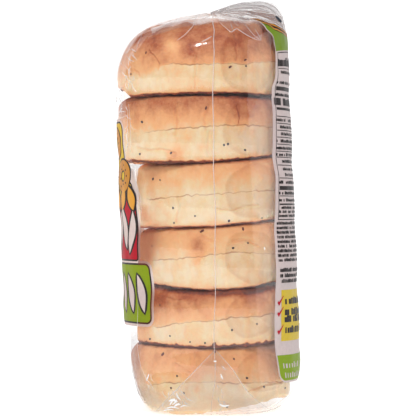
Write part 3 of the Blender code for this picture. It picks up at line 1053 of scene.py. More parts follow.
# ---- Film ---------------------------------------------------------------------------------------------
def make_film(sizes, material):
    """The film from the middle of the base up to the neck, one closed skin."""
    columns = int(sizes.film_segments)
    turn = 2 * math.pi * np.arange(columns) / columns
    levels = np.concatenate([
        np.linspace(-0.97, -0.06, 14),
        (np.linspace(0.0, 1.0, 25)[:-1] ** 1.7) * 0.14,
        np.linspace(0.14, 1.0, 160)[:-1],
        1.0 + np.linspace(0.0, 1.0, 70),
    ])
    points = film_points(*np.meshgrid(turn, levels)).reshape(-1, 3)
    rows = len(levels)
    faces = grid_faces(rows, columns, closed=True)
    count = len(points)
    points = np.concatenate([points, [points[:columns].mean(axis=0), points[-columns:].mean(axis=0)]])
    faces += [((c + 1) % columns, c, count) for c in range(columns)]
    top = (rows - 1) * columns
    faces += [(top + c, top + (c + 1) % columns, count + 1) for c in range(columns)]
    return new_object("bag_film", points, faces, material)


def resampled(path, count):
    """A path of any dimension with points at even distances."""
    path = np.asarray(path, float)
    run = run_along(path)
    places = np.linspace(0.0, run[-1], count)
    return np.stack([np.interp(places, run, path[:, k]) for k in range(path.shape[1])], axis=-1)


def strip(name, middle, normal, widths, thickness, material):
    """A narrow strip of film with a flat lens-shaped section along a line of points."""
    across = np.cross(unit(np.gradient(middle, axis=0)), normal)
    widths = np.broadcast_to(widths, len(middle))[:, None]
    section = ((-0.5, 0.0), (-0.25, 0.8), (0.0, 1.0), (0.25, 0.8), (0.5, 0.0), (0.0, -0.6))
    rows = [middle + across * widths * side + normal * thickness * lift / 2 for side, lift in section]
    points = np.stack(rows, axis=1).reshape(-1, 3)
    count, sides = len(middle), len(section)
    faces = grid_faces(count, sides, closed=True)
    faces += [tuple(reversed(range(sides))), tuple(range((count - 1) * sides, count * sides))]
    obj = new_object(name, points, faces, material)
    repair(obj)
    return obj


def tapering(count, end, power):
    """Shares of the full width along a line that narrows at its ends."""
    return np.sin(np.linspace(end, math.pi - end, count)) ** power


def film_strip(name, angles, levels, width, stand, material, thickness=0.0004):
    """A strip that lies on the film along a line of angles and levels, and tapers at its ends."""
    angles, levels = np.asarray(angles, float), np.asarray(levels, float)
    points, normals = film_points(angles, levels, stand), surface_normals(angles, levels)
    return strip(name, points, normals, width * tapering(len(angles), 0.06, 0.4), thickness, material)


def crease(path_px, width, material, stand=0.0003):
    """A sharp fold in the near film, placed where the photograph shows it."""
    path = np.asarray(path_px, float)
    length = np.linalg.norm(np.diff(path, axis=0), axis=1).sum()
    angles, levels = film_place(resampled(path, max(4, int(length / 1.5))))
    return film_strip("crease", angles, levels, width, stand, material)


def wrinkles(count, corner_px, far_corner_px, seed, material):
    """Short sharp creases scattered over a rectangle of the photograph, mostly upright."""
    chance = np.random.default_rng(seed)
    creases = []
    for _ in range(count):
        start = chance.uniform(corner_px, far_corner_px)
        length, lean = chance.uniform(3.0, 10.0), chance.normal(0.0, 0.6)
        first, whole = (np.array([math.sin(way), math.cos(way)]) for way in (lean, lean + 0.3))
        middle = start + length / 2 * first + chance.normal(0.0, 0.5, 2)
        end = start + length * whole
        creases.append(crease((start, middle, end), chance.uniform(0.0002, 0.0005), material))
    return creases


def tinted(patch, strength):
    """Gives a patch the strength that its tint reads."""
    give(patch.data, "strength", strength)
    return patch


def film_patch(
    name, first_px, second_px, stand, material, grid=(24, 24), both_sides=False, strength=0.0, softness=0.15,
    ends=0.1,
):
    """A sheet that lies on the bag between two lines of the photograph: a second layer of film, or a tint of
    haze, painted sheen or painted shade. Its tint fades in from the first line and at both ends."""
    rows, columns = grid
    first, second = resampled(first_px, columns), resampled(second_px, columns)
    share = np.linspace(0.0, 1.0, rows)[:, None, None]
    angles, levels = film_place((first * (1 - share) + second * share).reshape(-1, 2))
    end = np.linspace(0.0, 1.0, columns)
    fade = smooth(share[:, :, 0] / softness) * smooth(end / ends) * smooth((1 - end) / ends)
    patches = []
    for side in (1, -1) if both_sides else (1,):
        points = film_points(angles * side, levels, stand)
        patch = new_object(name, points, grid_faces(rows, columns), material)
        face_out(patch)
        patches.append(tinted(patch, strength * fade))
    return patches


def shade_patch(centre_px, radii_px, side, material, rings=16, spokes=90):
    """A round patch of painted shade just inside the film, darker and warmer, deepest in colour at its rim.
    """
    reach = np.linspace(0.0, 1.08, rings)[1:, None]
    turn = np.linspace(0, 2 * math.pi, spokes, endpoint=False)[None, :]
    uneven = 1 + 0.05 * np.sin(2 * turn + centre_px[1]) + 0.03 * np.sin(5 * turn + centre_px[0])
    places = np.stack([
        centre_px[0] + radii_px[0] * reach * uneven * np.cos(turn),
        centre_px[1] + radii_px[1] * reach * uneven * np.sin(turn),
    ], axis=-1).reshape(-1, 2)
    angles, levels = film_place(places)
    points = film_points(angles * side, levels, SHADE_STAND)
    patch = new_object("shade_oval", points, grid_faces(rings - 1, spokes, closed=True), material)
    face_out(patch)
    depth = SHADE_DEPTH * (0.5 + 0.5 * smooth((reach - 0.80) / 0.18)) * (1 - smooth((reach - 1.0) / 0.06))
    return tinted(patch, np.broadcast_to(depth, (rings - 1, spokes)))


def face_out(obj):
    """Turns an open sheet's faces away from the bag's middle line."""
    mesh = obj.data
    if sum(face.normal.dot(face.center - BAG_MIDDLE) for face in mesh.polygons) < 0:
        mesh.flip_normals()


def repair(obj):
    """Turns a closed mesh's faces outwards."""
    shape = bmesh.new()
    shape.from_mesh(obj.data)
    bmesh.ops.recalc_face_normals(shape, faces=shape.faces)
    shape.to_mesh(obj.data)
    shape.free()


def joined(name, objects):
    """Several mesh objects as one."""
    bpy.ops.object.select_all(action="DESELECT")
    for obj in objects:
        obj.select_set(True)
    bpy.context.view_layer.objects.active = objects[0]
    bpy.ops.object.join()
    objects[0].name = objects[0].data.name = name
    return objects[0]


# ---- Print on the film --------------------------------------------------------------------------------
# Where the near edge of the back panel's print shows in the photograph, as column and row
BACK_EDGE_PX = (
    (258.6, 22.1), (266, 30.1), (270, 33.5), (272.7, 36.8), (274, 41.5), (275.4, 50), (275.4, 75),
    (271.8, 87), (271.6, 100), (272.5, 110), (272.5, 145), (272, 157), (275, 175), (274.8, 215),
    (274.1, 232), (275.7, 260), (276, 280), (275, 300), (274.1, 320), (274.4, 340), (275.7, 355),
    (278, 368), (279.5, 382),
)
BACK_PRINT_HALF = 0.046    # how far the print is taken to reach from the panel's middle line
# Across the panel from its edge to its middle: how high the green header reaches, and the stripes above it
HEADER_LINE = (
    (0.046, 0.2564, 0.264), (0.044, 0.2519, 0.2612), (0.0406, 0.2494, 0.2572), (0.0372, 0.2461, 0.2525),
    (0.0322, 0.2441, 0.2495), (0.0226, 0.2421, 0.2458), (0, 0.2404, 0.244),
)
FRONT_PRINT_HALF = 0.060
ROW_PITCH = 0.003          # from one row of text to the next, unless a block has its own


class Panel:
    """Lays flat artwork on one panel of the bag. Artwork is drawn in metres: across from the panel's middle
    line, where negative is the left as one faces the panel, and up from the base."""

    def __init__(self, middle, half_width, edge_px=None):
        self.middle = middle
        self.levels = np.linspace(0.0, 1.9, 230)
        sweep = np.linspace(0.0, math.pi * 0.5, 200)
        arc = run_along(film_surface(middle + sweep[None, :], self.levels[:, None]))
        reach = np.full(len(self.levels), half_width)
        if edge_px is not None:
            angles, at_levels = film_place(edge_px)
            order = np.argsort(at_levels)
            edge = np.abs(np.interp(self.levels, at_levels[order], angles[order]) - middle)
            reach = np.array([np.interp(a, sweep, row) for a, row in zip(edge, arc)])
        self.shares = np.linspace(0.0, 1.25, 60)
        self.angles = np.array([np.interp(self.shares * r, row, sweep) for r, row in zip(reach, arc)])
        self.half_width = half_width
        self.heights = run_along(film_surface(middle, self.levels))
        self.heights += (self.levels * SHOULDER_HEIGHT - self.heights)[np.searchsorted(self.levels, 1.0)]
        self.heights = np.where(self.levels < 1.0, self.levels * SHOULDER_HEIGHT, self.heights)

    def place(self, flat, stand):
        """Points on the film for points of the artwork."""
        flat = np.asarray(flat, float)
        level = np.interp(flat[:, 1], self.heights, self.levels)
        share = np.clip(np.abs(flat[:, 0]) / self.half_width, 0, self.shares[-1])
        row = np.interp(level, self.levels, np.arange(len(self.levels)))
        column = np.interp(share, self.shares, np.arange(len(self.shares)))
        r = np.minimum(row.astype(int), len(self.levels) - 2)
        c = np.minimum(column.astype(int), len(self.shares) - 2)
        dr, dc = row - r, column - c
        low = self.angles[r, c] * (1 - dc) + self.angles[r, c + 1] * dc
        high = self.angles[r + 1, c] * (1 - dc) + self.angles[r + 1, c + 1] * dc
        angle = self.middle + np.sign(flat[:, 0]) * (low * (1 - dr) + high * dr)
        return film_points(angle, level, stand)


def cut_up(shape, cell):
    """Cuts flat faces into cells so that they can follow the film."""
    for axis, normal in enumerate(((1, 0, 0), (0, 1, 0))):
        places = [v.co[axis] for v in shape.verts]
        for k in range(math.floor(min(places) / cell) + 1, math.ceil(max(places) / cell)):
            everything = shape.verts[:] + shape.edges[:] + shape.faces[:]
            place = [k * cell * side for side in normal]
            bmesh.ops.bisect_plane(shape, geom=everything, plane_co=place, plane_no=normal, dist=1e-7)


def ink(name, panel, outlines, stand, material, cell=0.0018):
    """A printed field: flat outlines laid on the panel's film, each one line or an outer line and a hole."""
    shape = bmesh.new()
    for outline in outlines:
        rings = outline if isinstance(outline, tuple) else (outline,)
        edges = []
        for ring in rings:
            corners = [shape.verts.new((u, v, 0.0)) for u, v in ring]
            edges += [shape.edges.new((a, b)) for a, b in zip(corners, corners[1:] + corners[:1])]
        if len(rings) == 1:
            shape.faces.new(corners)
        else:
            bmesh.ops.triangle_fill(shape, use_beauty=True, edges=edges)
    cut_up(shape, cell)
    return laid_on_film(name, panel, shape, stand, material)


def laid_on_film(name, panel, shape, stand, material):
    """Flat artwork as a sheet that stands off the panel's film by a distance."""
    mesh = bpy.data.meshes.new(name)
    shape.to_mesh(mesh)
    shape.free()
    flat = np.zeros(len(mesh.vertices) * 3)
    mesh.vertices.foreach_get("co", flat)
    placed = panel.place(flat.reshape(-1, 3)[:, :2], stand)
    mesh.vertices.foreach_set("co", placed.ravel())
    mesh.materials.append(material)
    mesh.shade_smooth()
    mesh.update()
    obj = linked(name, mesh)
    face_out(obj)
    return obj


def box(left, low, right, high):
    return [(left, low), (right, low), (right, high), (left, high)]


def header_line(share, inset=0.0):
    """A line across the panel, right to left, at a share of the way from the header up over its stripes."""
    half = [(u - inset, low + (high - low) * share) for u, low, high in HEADER_LINE[:-1]]
    middle = [(0.0, low + (high - low) * share) for _, low, high in HEADER_LINE[-1:]]
    return half + middle + [(-u, v) for u, v in reversed(half)]


def header_stripe(start, end):
    """A stripe between two such lines."""
    return header_line(start)[::-1] + header_line(end)


def rounded_box(left, low, right, high, radius, count=6):
    """A box with round corners. From the lower left to the right and round, each may have its own radius."""
    radii = radius if isinstance(radius, tuple) else (radius,) * 4
    ring = []
    for (x, y), r, start in zip(box(left, low, right, high), radii, (180, 270, 0, 90)):
        cx = x + r if x == left else x - r
        cy = y + r if y == low else y - r
        for a in np.radians(np.linspace(start, start + 90, count if r else 1)):
            ring.append((cx + r * math.cos(a), cy + r * math.sin(a)))
    return ring


def disc(centre, radius, count=40):
    turns = np.linspace(0, 2 * math.pi, count, endpoint=False)
    return [(centre[0] + radius * math.cos(a), centre[1] + radius * math.sin(a)) for a in turns]


def bell(half_top, half_base, low, waist, high, corner_radius=0.005):
    """A flat-bottomed field whose sides draw in up to a waist and then rise to a rounded top."""
    side = []
    for t in np.linspace(0, 1, 14):
        side.append((half_base + (half_top - half_base) * float(smooth(t)), low + (waist - low) * t))
    for a in np.radians(np.linspace(0, 90, 7)):
        side.append((half_top + corner_radius * (math.cos(a) - 1), high + corner_radius * (math.sin(a) - 1)))
    return side + [(-u, v) for u, v in reversed(side)]


def kernel(centre, half_width, half_height, turn):
    """An upright wheat grain: an almond outline, turned about its centre."""
    side = [(half_width * (1 - t * t), half_height * t) for t in np.linspace(-1, 1, 15)]
    ring = side + [(-u, v) for u, v in reversed(side[1:-1])]
    c, s = math.cos(turn), math.sin(turn)
    return [(centre[0] + u * c - v * s, centre[1] + u * s + v * c) for u, v in ring]


def grown(ring, by):
    """An outline moved outwards by a distance."""
    points = np.asarray(ring)
    back, ahead = np.roll(points, 1, axis=0), np.roll(points, -1, axis=0)
    tangent = ahead - back
    area = 0.5 * np.sum(points[:, 0] * ahead[:, 1] - ahead[:, 0] * points[:, 1])
    normal = unit(np.stack([tangent[:, 1], -tangent[:, 0]], axis=1) * np.sign(area))
    return [tuple(p) for p in points + normal * by]


def word_tree(material):
    """Geometry nodes that set rows of small blocks, with gaps between words, as dummy text."""
    tree, given, known = open_tree(
        "dummy_text", "Text", ("Width", "Float", 0.07), ("Rows", "Int", 1), ("Row Pitch", "Float", ROW_PITCH),
        ("Letters", "Int", 40), ("Height", "Float", 0.0018), ("Weight", "Float", 0.7),
    )
    depth = maths(tree, "MULTIPLY", maths(tree, "SUBTRACT", given["Rows"], 1.0), given["Row Pitch"])
    spots = geometry(
        tree, "MeshGrid", Size_X=given["Width"], Size_Y=depth, Vertices_X=given["Letters"],
        Vertices_Y=given["Rows"],
    )
    spaces = chance_value(tree, given["Seed"], "BOOLEAN", 3, Probability=0.13)
    inputs = {"Geometry": spots, "Selection": spaces}
    kept = add(tree, "GeometryNodeDeleteGeometry", inputs, domain="POINT", mode="ALL").outputs[0]
    pitch = maths(tree, "DIVIDE", given["Width"], given["Letters"])
    stem = maths(tree, "MULTIPLY", pitch, given["Weight"])
    block = geometry(tree, "MeshGrid", Size_X=stem, Size_Y=given["Height"], Vertices_X=2, Vertices_Y=2)
    half = maths(tree, "MULTIPLY", given["Height"], 0.5)
    lift = add(tree, "ShaderNodeCombineXYZ", {"Y": half}).outputs[0]
    drop = add(tree, "ShaderNodeVectorMath", {0: lift, 1: (0.0, -1.0, 0.0)}, operation="MULTIPLY").outputs[0]
    baseline = geometry(tree, "SetPosition", Geometry=kept, Offset=drop)
    standing = geometry(tree, "Transform", Geometry=block, Translation=lift)
    uneven = chance_value(tree, given["Seed"], "FLOAT_VECTOR", 0, Min=(0.60, 0.66, 1.0), Max=(1.30, 1.0, 1.0))
    closed_tree(tree, "Text", material, baseline, standing, Scale=uneven)
    return tree, known


def from_nodes(tree, known, base, values):
    """The plain mesh that a node tree makes from a base mesh and its input values."""
    carrier = linked("carrier", base)
    modifier = carrier.modifiers.new("nodes", "NODES")
    modifier.node_group = tree
    for label, value in values.items():
        modifier[known[label]] = value
    bpy.context.view_layer.update()
    mesh = bpy.data.meshes.new_from_object(carrier.evaluated_get(bpy.context.evaluated_depsgraph_get()))
    carrier.modifiers.clear()
    bpy.data.objects.remove(carrier)
    return mesh


def dummy_text(name, panel, blocks, stand, material):
    """Blocks of dummy text, each by its left end, its first row's middle, its width and the tree's inputs."""
    tree, known = word_tree(material)
    shape = bmesh.new()
    for index, (left, top, width, values) in enumerate(blocks):
        values = {"Width": width, "Seed": index * 13 + 5, **values}
        mesh = from_nodes(tree, known, bpy.data.meshes.new("empty"), values)
        depth = (values.get("Rows", 1) - 1) * values.get("Row Pitch", ROW_PITCH)
        shift = Vector((left + width / 2, top - depth / 2, 0.0))
        for vertex in mesh.vertices:
            vertex.co += shift
        shape.from_mesh(mesh)
    return laid_on_film(name, panel, shape, stand, material)


# ---- Tail ---------------------------------------------------------------------------------------------
def tail_points(shape, along, across):
    """Points of one pleated layer, by shares from the neck to the hem and from side to side. The shape is
    its middle line as start, bend and end in X and Z, its half widths at the neck and at the hem, its
    pleats' count and depth, how far its sides droop, and its seed."""
    (start, bend, end), widths, (count, depth), droop, seed = shape
    along, across = np.broadcast_arrays(along, across)
    t = along[..., None]
    path = start * (1 - t) ** 2 + bend * 2 * t * (1 - t) + end * t ** 2
    slope = unit((bend - start) * (1 - t) + (end - bend) * t)
    half = widths[0] + (widths[1] - widths[0]) * smooth(along * 1.15) ** 0.8
    phase = across * count + 0.35 * np.sin(across * 5.3 + seed) + 0.12 * seed
    fold = 2 * np.abs(2 * (phase - np.floor(phase + 0.5))) - 1
    strength = 0.6 + 0.4 * np.sin(across * 9.1 + seed * 2.3)
    height = depth * (0.35 + 0.65 * smooth(along * 1.4)) * fold * strength
    height = height - droop * smooth(along * 1.3) * np.abs(across) ** 2.2
    y = half * across * (1 + 0.03 * np.sin(along * 9 + seed))
    x, z = path[..., 0] - slope[..., 1] * height, path[..., 1] + slope[..., 0] * height
    points = np.stack([x, y, z], axis=-1)
    uneven = np.stack([wobble(points, 0.012, seed + k, 2) for k in (61, 62, 63)], axis=-1)
    return points + 0.0011 * smooth(along * 2)[..., None] * uneven


def tail_sheet(shape, material, rows=70, columns=150):
    points = tail_points(shape, np.linspace(0, 1, rows)[:, None], np.linspace(-1, 1, columns)[None, :])
    return new_object("tail", points.reshape(-1, 3), grid_faces(rows, columns), material)


def tail_streak(shape, start, end, across, width, material, count=26):
    """A sharp crease along one layer, from one share of its length to another, that tapers at its ends."""
    along, step = np.linspace(start, end, count), 0.01
    line = tail_points(shape, along, across)
    onwards, sideways = tail_points(shape, along + step, across), tail_points(shape, along, across + step)
    normal = unit(np.cross(onwards - line, sideways - line))
    return strip("streak", line, normal, width * tapering(count, 0.1, 0.5), 0.0003, material)


def tail_mark(shape, material, count=20):
    """The dark mark printed down the near edge of a layer, just off the film."""
    line = tail_points(shape, np.linspace(*TAIL_MARK_REACH, count), -1.0) - (0.0, TAIL_MARK_STAND, 0.0)
    facing = np.tile((0.0, -1.0, 0.0), (count, 1))
    return strip("tail_mark", line, facing, TAIL_MARK_WIDTH * tapering(count, 0.2, 0.5), 0.0003, material)


# ---- Sizes and colours --------------------------------------------------------------------------------
class BagelBagSizes(bpy.types.PropertyGroup):
    bagel_half_depth: FloatProperty(
        name="Bagel half depth", description="Half of a bagel's width from one side weld to the other",
        default=0.0512, unit="LENGTH",
    )
    hole_radius: FloatProperty(
        name="Hole radius", description="Radius of the hole through a bagel", default=0.010, unit="LENGTH"
    )
    bagel_segments: IntProperty(
        name="Bagel segments", description="Points once round a bagel", default=450, min=24
    )
    film_segments: IntProperty(
        name="Film segments", description="Points once round the film", default=320, min=24
    )
    seed_density: FloatProperty(
        name="Seed density", description="Seeds on each square metre of bagel", default=2000.0
    )


def colour_prop(name, description, hex_colour):
    return FloatVectorProperty(
        name=name, description=description, default=linear(hex_colour), size=4, subtype="COLOR"
    )


class BagelBagColours(bpy.types.PropertyGroup):
    seed: colour_prop("Seed", "Colour of the small seeds", "#2E2634")
    flake: colour_prop("Onion flake", "Colour of the toasted onion flakes", "#64302A")
    green: colour_prop("Green ink", "Colour of the green print", "#8CA81A")
    yellow: colour_prop("Yellow ink", "Colour of the yellow print", "#DFC236")
    red: colour_prop("Red ink", "Colour of the red print", "#BC1C30")


class BAGELBAG_OT_bagels(bpy.types.Operator):
    """Makes the six stacked bagels"""
    bl_idname = "bagel_bag.bagels"
    bl_label = "Bagels"

    def execute(self, context):
        crust = baked_crust()
        for index in range(len(BAGEL_HEIGHTS)):
            piece(make_bagel(index, context.scene.bagel_bag_sizes, crust))
        return {"FINISHED"}


class BAGELBAG_OT_seeds(bpy.types.Operator):
    """Scatters seeds and onion flakes over the bagels"""
    bl_idname = "bagel_bag.seeds"
    bl_label = "Seeds and onion flakes"

    def execute(self, context):
        sizes = context.scene.bagel_bag_sizes
        host = bmesh.new()
        for index in range(len(BAGEL_HEIGHTS)):
            host.from_mesh(bpy.data.objects[f"bagel_{index + 1}"].data)
        surface = bpy.data.meshes.new("all_bagels")
        host.to_mesh(surface)
        host.free()
        give(surface, "scattered", [v.co.y > PLACED_SEEDS_Y for v in surface.vertices])
        colours = context.scene.bagel_bag_colours
        # Dry, dull seed coats, and dried onion toasted with the crust
        seed = plain_finish("dried_poppy_seed", colours.seed, roughness=0.5, mottling=0.15)
        flake = plain_finish("toasted_onion_flake", colours.flake, roughness=0.6, mottling=0.2)
        piece(grains("poppy_seeds", surface, SEEDS_PX, seed, Density=sizes.seed_density, Seed=3))
        flakes = grains(
            "onion_flakes", surface, FLAKES_PX, flake, Density=sizes.seed_density * 0.15, Length=0.0028,
            Width=0.0015, Thickness=0.0012, Seed=8,
        )
        piece(flakes)
        return {"FINISHED"}


class BAGELBAG_OT_film(bpy.types.Operator):
    """Makes the clear film of the bag, with its side welds, gussets, folds and creases"""
    bl_idname = "bagel_bag.film"
    bl_label = "Film"

    def execute(self, context):
        film = clear_film("blown_polyethylene_film", haze=0.014)
        body = make_film(context.scene.bagel_bag_sizes, film)
        repair(body)
        piece(body)

        # Polyethylene film that is melted together along the edge, and milky there
        weld = clear_film("heat_welded_film_edge", haze=0.42, haze_colour="#EAD9D5")
        levels = np.linspace(0.002, 1.93, 170)
        waver = 0.006 * np.sin(levels * 9) + 0.004 * np.sin(levels * 27 + 1)
        angles = np.array([weld_angle(v) for v in levels]) + waver
        welds = [film_strip("weld", side * angles, levels, 0.0007, 0.0004, weld) for side in (-1, 1)]
        piece(joined("side_welds", welds))

        # The same film, where a second layer of it lies on the first
        layer = clear_film("second_film_layer", haze=0.12, haze_colour="#B9AEAD")
        gussets = film_patch("gusset", GUSSET_LEFT_PX, GUSSET_RIGHT_PX, LAYER_STAND, layer, both_sides=True)
        piece(joined("gussets", gussets))
        veil = film_patch("neck_veil", NECK_VEIL_TOP_PX, NECK_VEIL_LOW_PX, VEIL_STAND, layer)
        flap = film_patch("tail_flap", TAIL_FLAP_TOP_PX, TAIL_FLAP_LOW_PX, FLAP_STAND, layer, both_sides=True)
        piece(joined("neck_layers", veil + flap))

        # Painted reflection: the film's dull sheen on the right of each bagel
        shine = film_tint("film_painted_sheen", "#C9BBBE")
        patches = []
        for line, strength in zip(SHINE_EDGES_PX, SHINE_STRENGTHS):
            right = [(SHINE_RIGHT_PX, row) for _, row in line]
            patches += film_patch("shine", line, right, TINT_STAND, shine, TINT_GRID, True, strength)
        # Film haze and painted shade by the front edge
        for colour, strength, softness, inner, outer in TINTS_PX:
            tint = film_tint("film_haze_and_painted_shade_" + colour[1:].lower(), colour)
            patches += film_patch(
                "tint", inner, outer, TINT_STAND, tint, TINT_GRID, False, strength, softness, TINT_ENDS
            )
        piece(joined("film_sheen_shade_and_haze", patches))

        # Painted shade: darker, warmer ovals on the right of each bagel
        shade_tint = painted_shade_film("painted_shade_on_film", "#C98A50")
        patches = [shade_patch(*shade_oval, side, shade_tint) for shade_oval in SHADE_OVALS_PX for side in (1, -1)]
        piece(joined("film_shade_ovals", patches))

        # The same film, whitened where it is folded sharply and where it is crumpled, partly painted
        # highlights, and painted glints
        fold = clear_film("creased_film_and_painted_highlight", haze=0.38, haze_colour="#F2E9E7")
        glint = clear_film("painted_film_glint", haze=0.85, haze_colour="#FFFFFF")
        crumple = clear_film("crumpled_film_and_painted_glints", haze=0.55, haze_colour="#FFFFFF")
        creases = [crease(path, width, fold) for width, path in CREASES_PX]
        creases += [crease(path, width, glint, stand=0.0005) for width, path in GLINTS_PX]
        for seed, (count, corner_px, far_corner_px) in enumerate(WRINKLES_PX):
            creases += wrinkles(count, corner_px, far_corner_px, seed, crumple)
        piece(joined("film_creases", creases))
        return {"FINISHED"}


class BAGELBAG_OT_tail(bpy.types.Operator):
    """Makes the loose film past the neck, folded over to the back"""
    bl_idname = "bagel_bag.tail"
    bl_label = "Folded tail"

    def execute(self, context):
        # The same film, gathered in layers, and whitened along its pleats, partly painted highlights
        film = clear_film("gathered_film", haze=0.15, haze_colour="#D0C7C7", gloss_ior=1.35, edge_haze=0.35)
        pleat_and_highlight_film = clear_film("creased_tail_film_and_painted_highlights", haze=0.50, haze_colour="#FFFFFF", edge_haze=0.30)
        chance = np.random.default_rng(4)
        layers, streaks = [], []
        for k in range(TAIL_LAYERS):
            share = k / (TAIL_LAYERS - 1)
            middle_line = np.array(TAIL_TOP) * share + np.array(TAIL_LOW) * (1 - share)
            widths = (TAIL_NECK_HALF, TAIL_HEM_HALF + TAIL_HEM_WIDER * (1 - share))
            pleats, droop = (3 + k % 3, 0.0005 + 0.0002 * k), 0.0002 + 0.0003 * k
            shape = (middle_line, widths, pleats, droop, k + 1)
            layers.append(tail_sheet(shape, film))
            if k == TAIL_MARK_LAYER:
                mark = tail_mark(shape, film_ink("slate_film_ink", "#3E434C"))
            for side in (-1, 1):
                streaks.append(tail_streak(shape, 0.12, 0.92, 0.99 * side, 0.0005, pleat_and_highlight_film))
                for _ in range(TAIL_STREAKS):
                    start = chance.uniform(0.10, 0.60)
                    end = start + chance.uniform(0.15, 0.35)
                    across = side * chance.uniform(0.45, 0.97)
                    width = chance.uniform(0.0003, 0.0007)
                    streaks.append(tail_streak(shape, start, end, across, width, pleat_and_highlight_film))
        piece(joined("tail_creases", streaks))
        piece(mark)
        piece(joined("folded_tail", layers))
        return {"FINISHED"}


class BAGELBAG_OT_back_print(bpy.types.Operator):
    """Prints the back panel: a white ground with a table, text rows, a yellow box and green bands"""
    bl_idname = "bagel_bag.back_print"
    bl_label = "Back print"

    def execute(self, context):
        colours = context.scene.bagel_bag_colours
        panel = Panel(0.0, BACK_PRINT_HALF, BACK_EDGE_PX)
        edge = BACK_PRINT_HALF
        # Flexographic inks, printed on the film in layers. The white ground is greyer than the front's white,
        # and the header's green darker than the band's: both painted shade
        white, green, shaded_green, black, yellow, red, orange = (
            film_ink(name + "_film_ink", colour) for name, colour in (
                ("white", "#D8C9C8"), ("green", colours.green), ("shaded_green", "#7B981C"),
                ("black", "#2B2222"), ("yellow", colours.yellow), ("red", colours.red), ("orange", "#E59A3C"),
            )
        )
        ground = rounded_box(-edge, 0.0200, edge, 0.2620, (0.006, 0.006, 0, 0))[:-2] + header_line(1.0)
        foot = rounded_box(-edge + 0.001, 0.0212, edge - 0.001, 0.0375, (0.005, 0.005, 0, 0))
        header = box(-edge + 0.001, 0.2320, edge - 0.001, 0.2575)[:2] + header_line(0.0, 0.001)
        stripe = header_stripe(0.0, 0.95)
        dark_stripes = [header_stripe(start, end) for start, end in ((0, 0.12), (0.36, 0.66), (0.90, 1))]
        frame_half, text_half = 0.0424, 0.0412
        rules = [(
            box(-frame_half, 0.1237, frame_half, 0.2310),
            box(-frame_half + 0.0006, 0.1243, frame_half - 0.0006, 0.2304),
        )]
        rules += [box(-text_half, low, text_half, high) for low, high in (
            (0.2192, 0.2197), (0.2068, 0.2094), (0.1943, 0.1959), (0.1429, 0.1455), (0.1333, 0.1343),
        )]
        rules += [box(-text_half, height - 0.00025, text_half, height + 0.00025) for height in (
            0.1902, 0.1857, 0.1812, 0.1768, 0.1723, 0.1678, 0.1640, 0.1589, 0.1506, 0.1391,
        )]
        tick = ((0, -0.2), (1.5, -2.2), (6, 4), (5.6, 4.2), (1.7, 0.4), (0.8, 0.9))
        ticks = [
            [(-0.0440 + u * MM, height + v * MM) for u, v in tick] for height in (0.0712, 0.0642, 0.0528)
        ]
        # Each field stands a little further off the film than what it is printed on
        prints = [ink(name, panel, outlines, stand, colour) for name, outlines, stand, colour in (
            ("ground", [ground], 0.00012, white), ("bands", [foot], 0.00022, green),
            ("header", [header], 0.00022, shaded_green), ("stripes", [stripe], 0.00024, orange),
            ("stripes", dark_stripes, 0.00028, black),
            ("claims_box", [box(-0.0402, 0.0464, 0.0402, 0.0790)], 0.00022, yellow),
            ("rules", rules, 0.00022, black),
        )]

        title = {"Letters": 22, "Height": 0.0058, "Weight": 1.0}
        bold = {"Letters": 42, "Height": 0.0021, "Weight": 0.95}
        fine = {"Letters": 50, "Height": 0.0020, "Weight": 0.92}
        large = {"Letters": 18, "Height": 0.0050, "Weight": 1.0}
        blocks = [
            (-text_half, 0.2240, 0.0770, title), (-0.0370, 0.2170, 0.0560, fine),
            (-text_half, 0.2122, 0.0720, bold), (-text_half, 0.2042, 0.0500, bold),
            (-text_half, 0.1998, 0.0700, large),
        ]
        for height, indent in (
            (0.1880, 0.0), (0.1835, 0.004), (0.1790, 0.005), (0.1745, 0.0), (0.1700, 0.0), (0.1658, 0.0),
            (0.1615, 0.005), (0.1565, 0.005), (0.1528, 0.008), (0.1480, 0.0), (0.1411, 0.0), (0.1366, 0.0),
        ):
            blocks.append((-text_half + indent, height, 0.070 - indent, fine if indent else bold))
        small = {"Rows": 3, "Row Pitch": 0.0026, "Letters": 58, "Height": 0.0018, "Weight": 1.0}
        list_rows = {"Rows": 9, "Row Pitch": 0.00295, "Letters": 54, "Height": 0.0021, "Weight": 0.92}
        maker_rows = {"Rows": 3, "Row Pitch": 0.0035, "Letters": 36, "Height": 0.0026, "Weight": 1.0}
        blocks += [
            (-text_half, 0.1317, 0.0780, small), (-0.0428, 0.1218, 0.0840, list_rows),
            (-0.0415, 0.0918, 0.0580, maker_rows),
        ]
        claims = {"Letters": 22, "Height": 0.0048, "Weight": 0.95}
        blocks += [(-0.0355, height, 0.058, claims) for height in (0.0722, 0.0652, 0.0607, 0.0538)]
        prints.append(dummy_text("text", panel, blocks, 0.00030, black))
        footer = {"Letters": 22, "Height": 0.0036, "Weight": 0.50}
        lines = [(-0.0405, 0.0309, 0.068, footer), (-0.0395, 0.0247, 0.062, footer)]
        prints.append(dummy_text("footer_text", panel, lines, 0.00032, white))
        prints.append(ink("ticks", panel, ticks, 0.00034, red))
        piece(joined("back_print", prints))
        return {"FINISHED"}


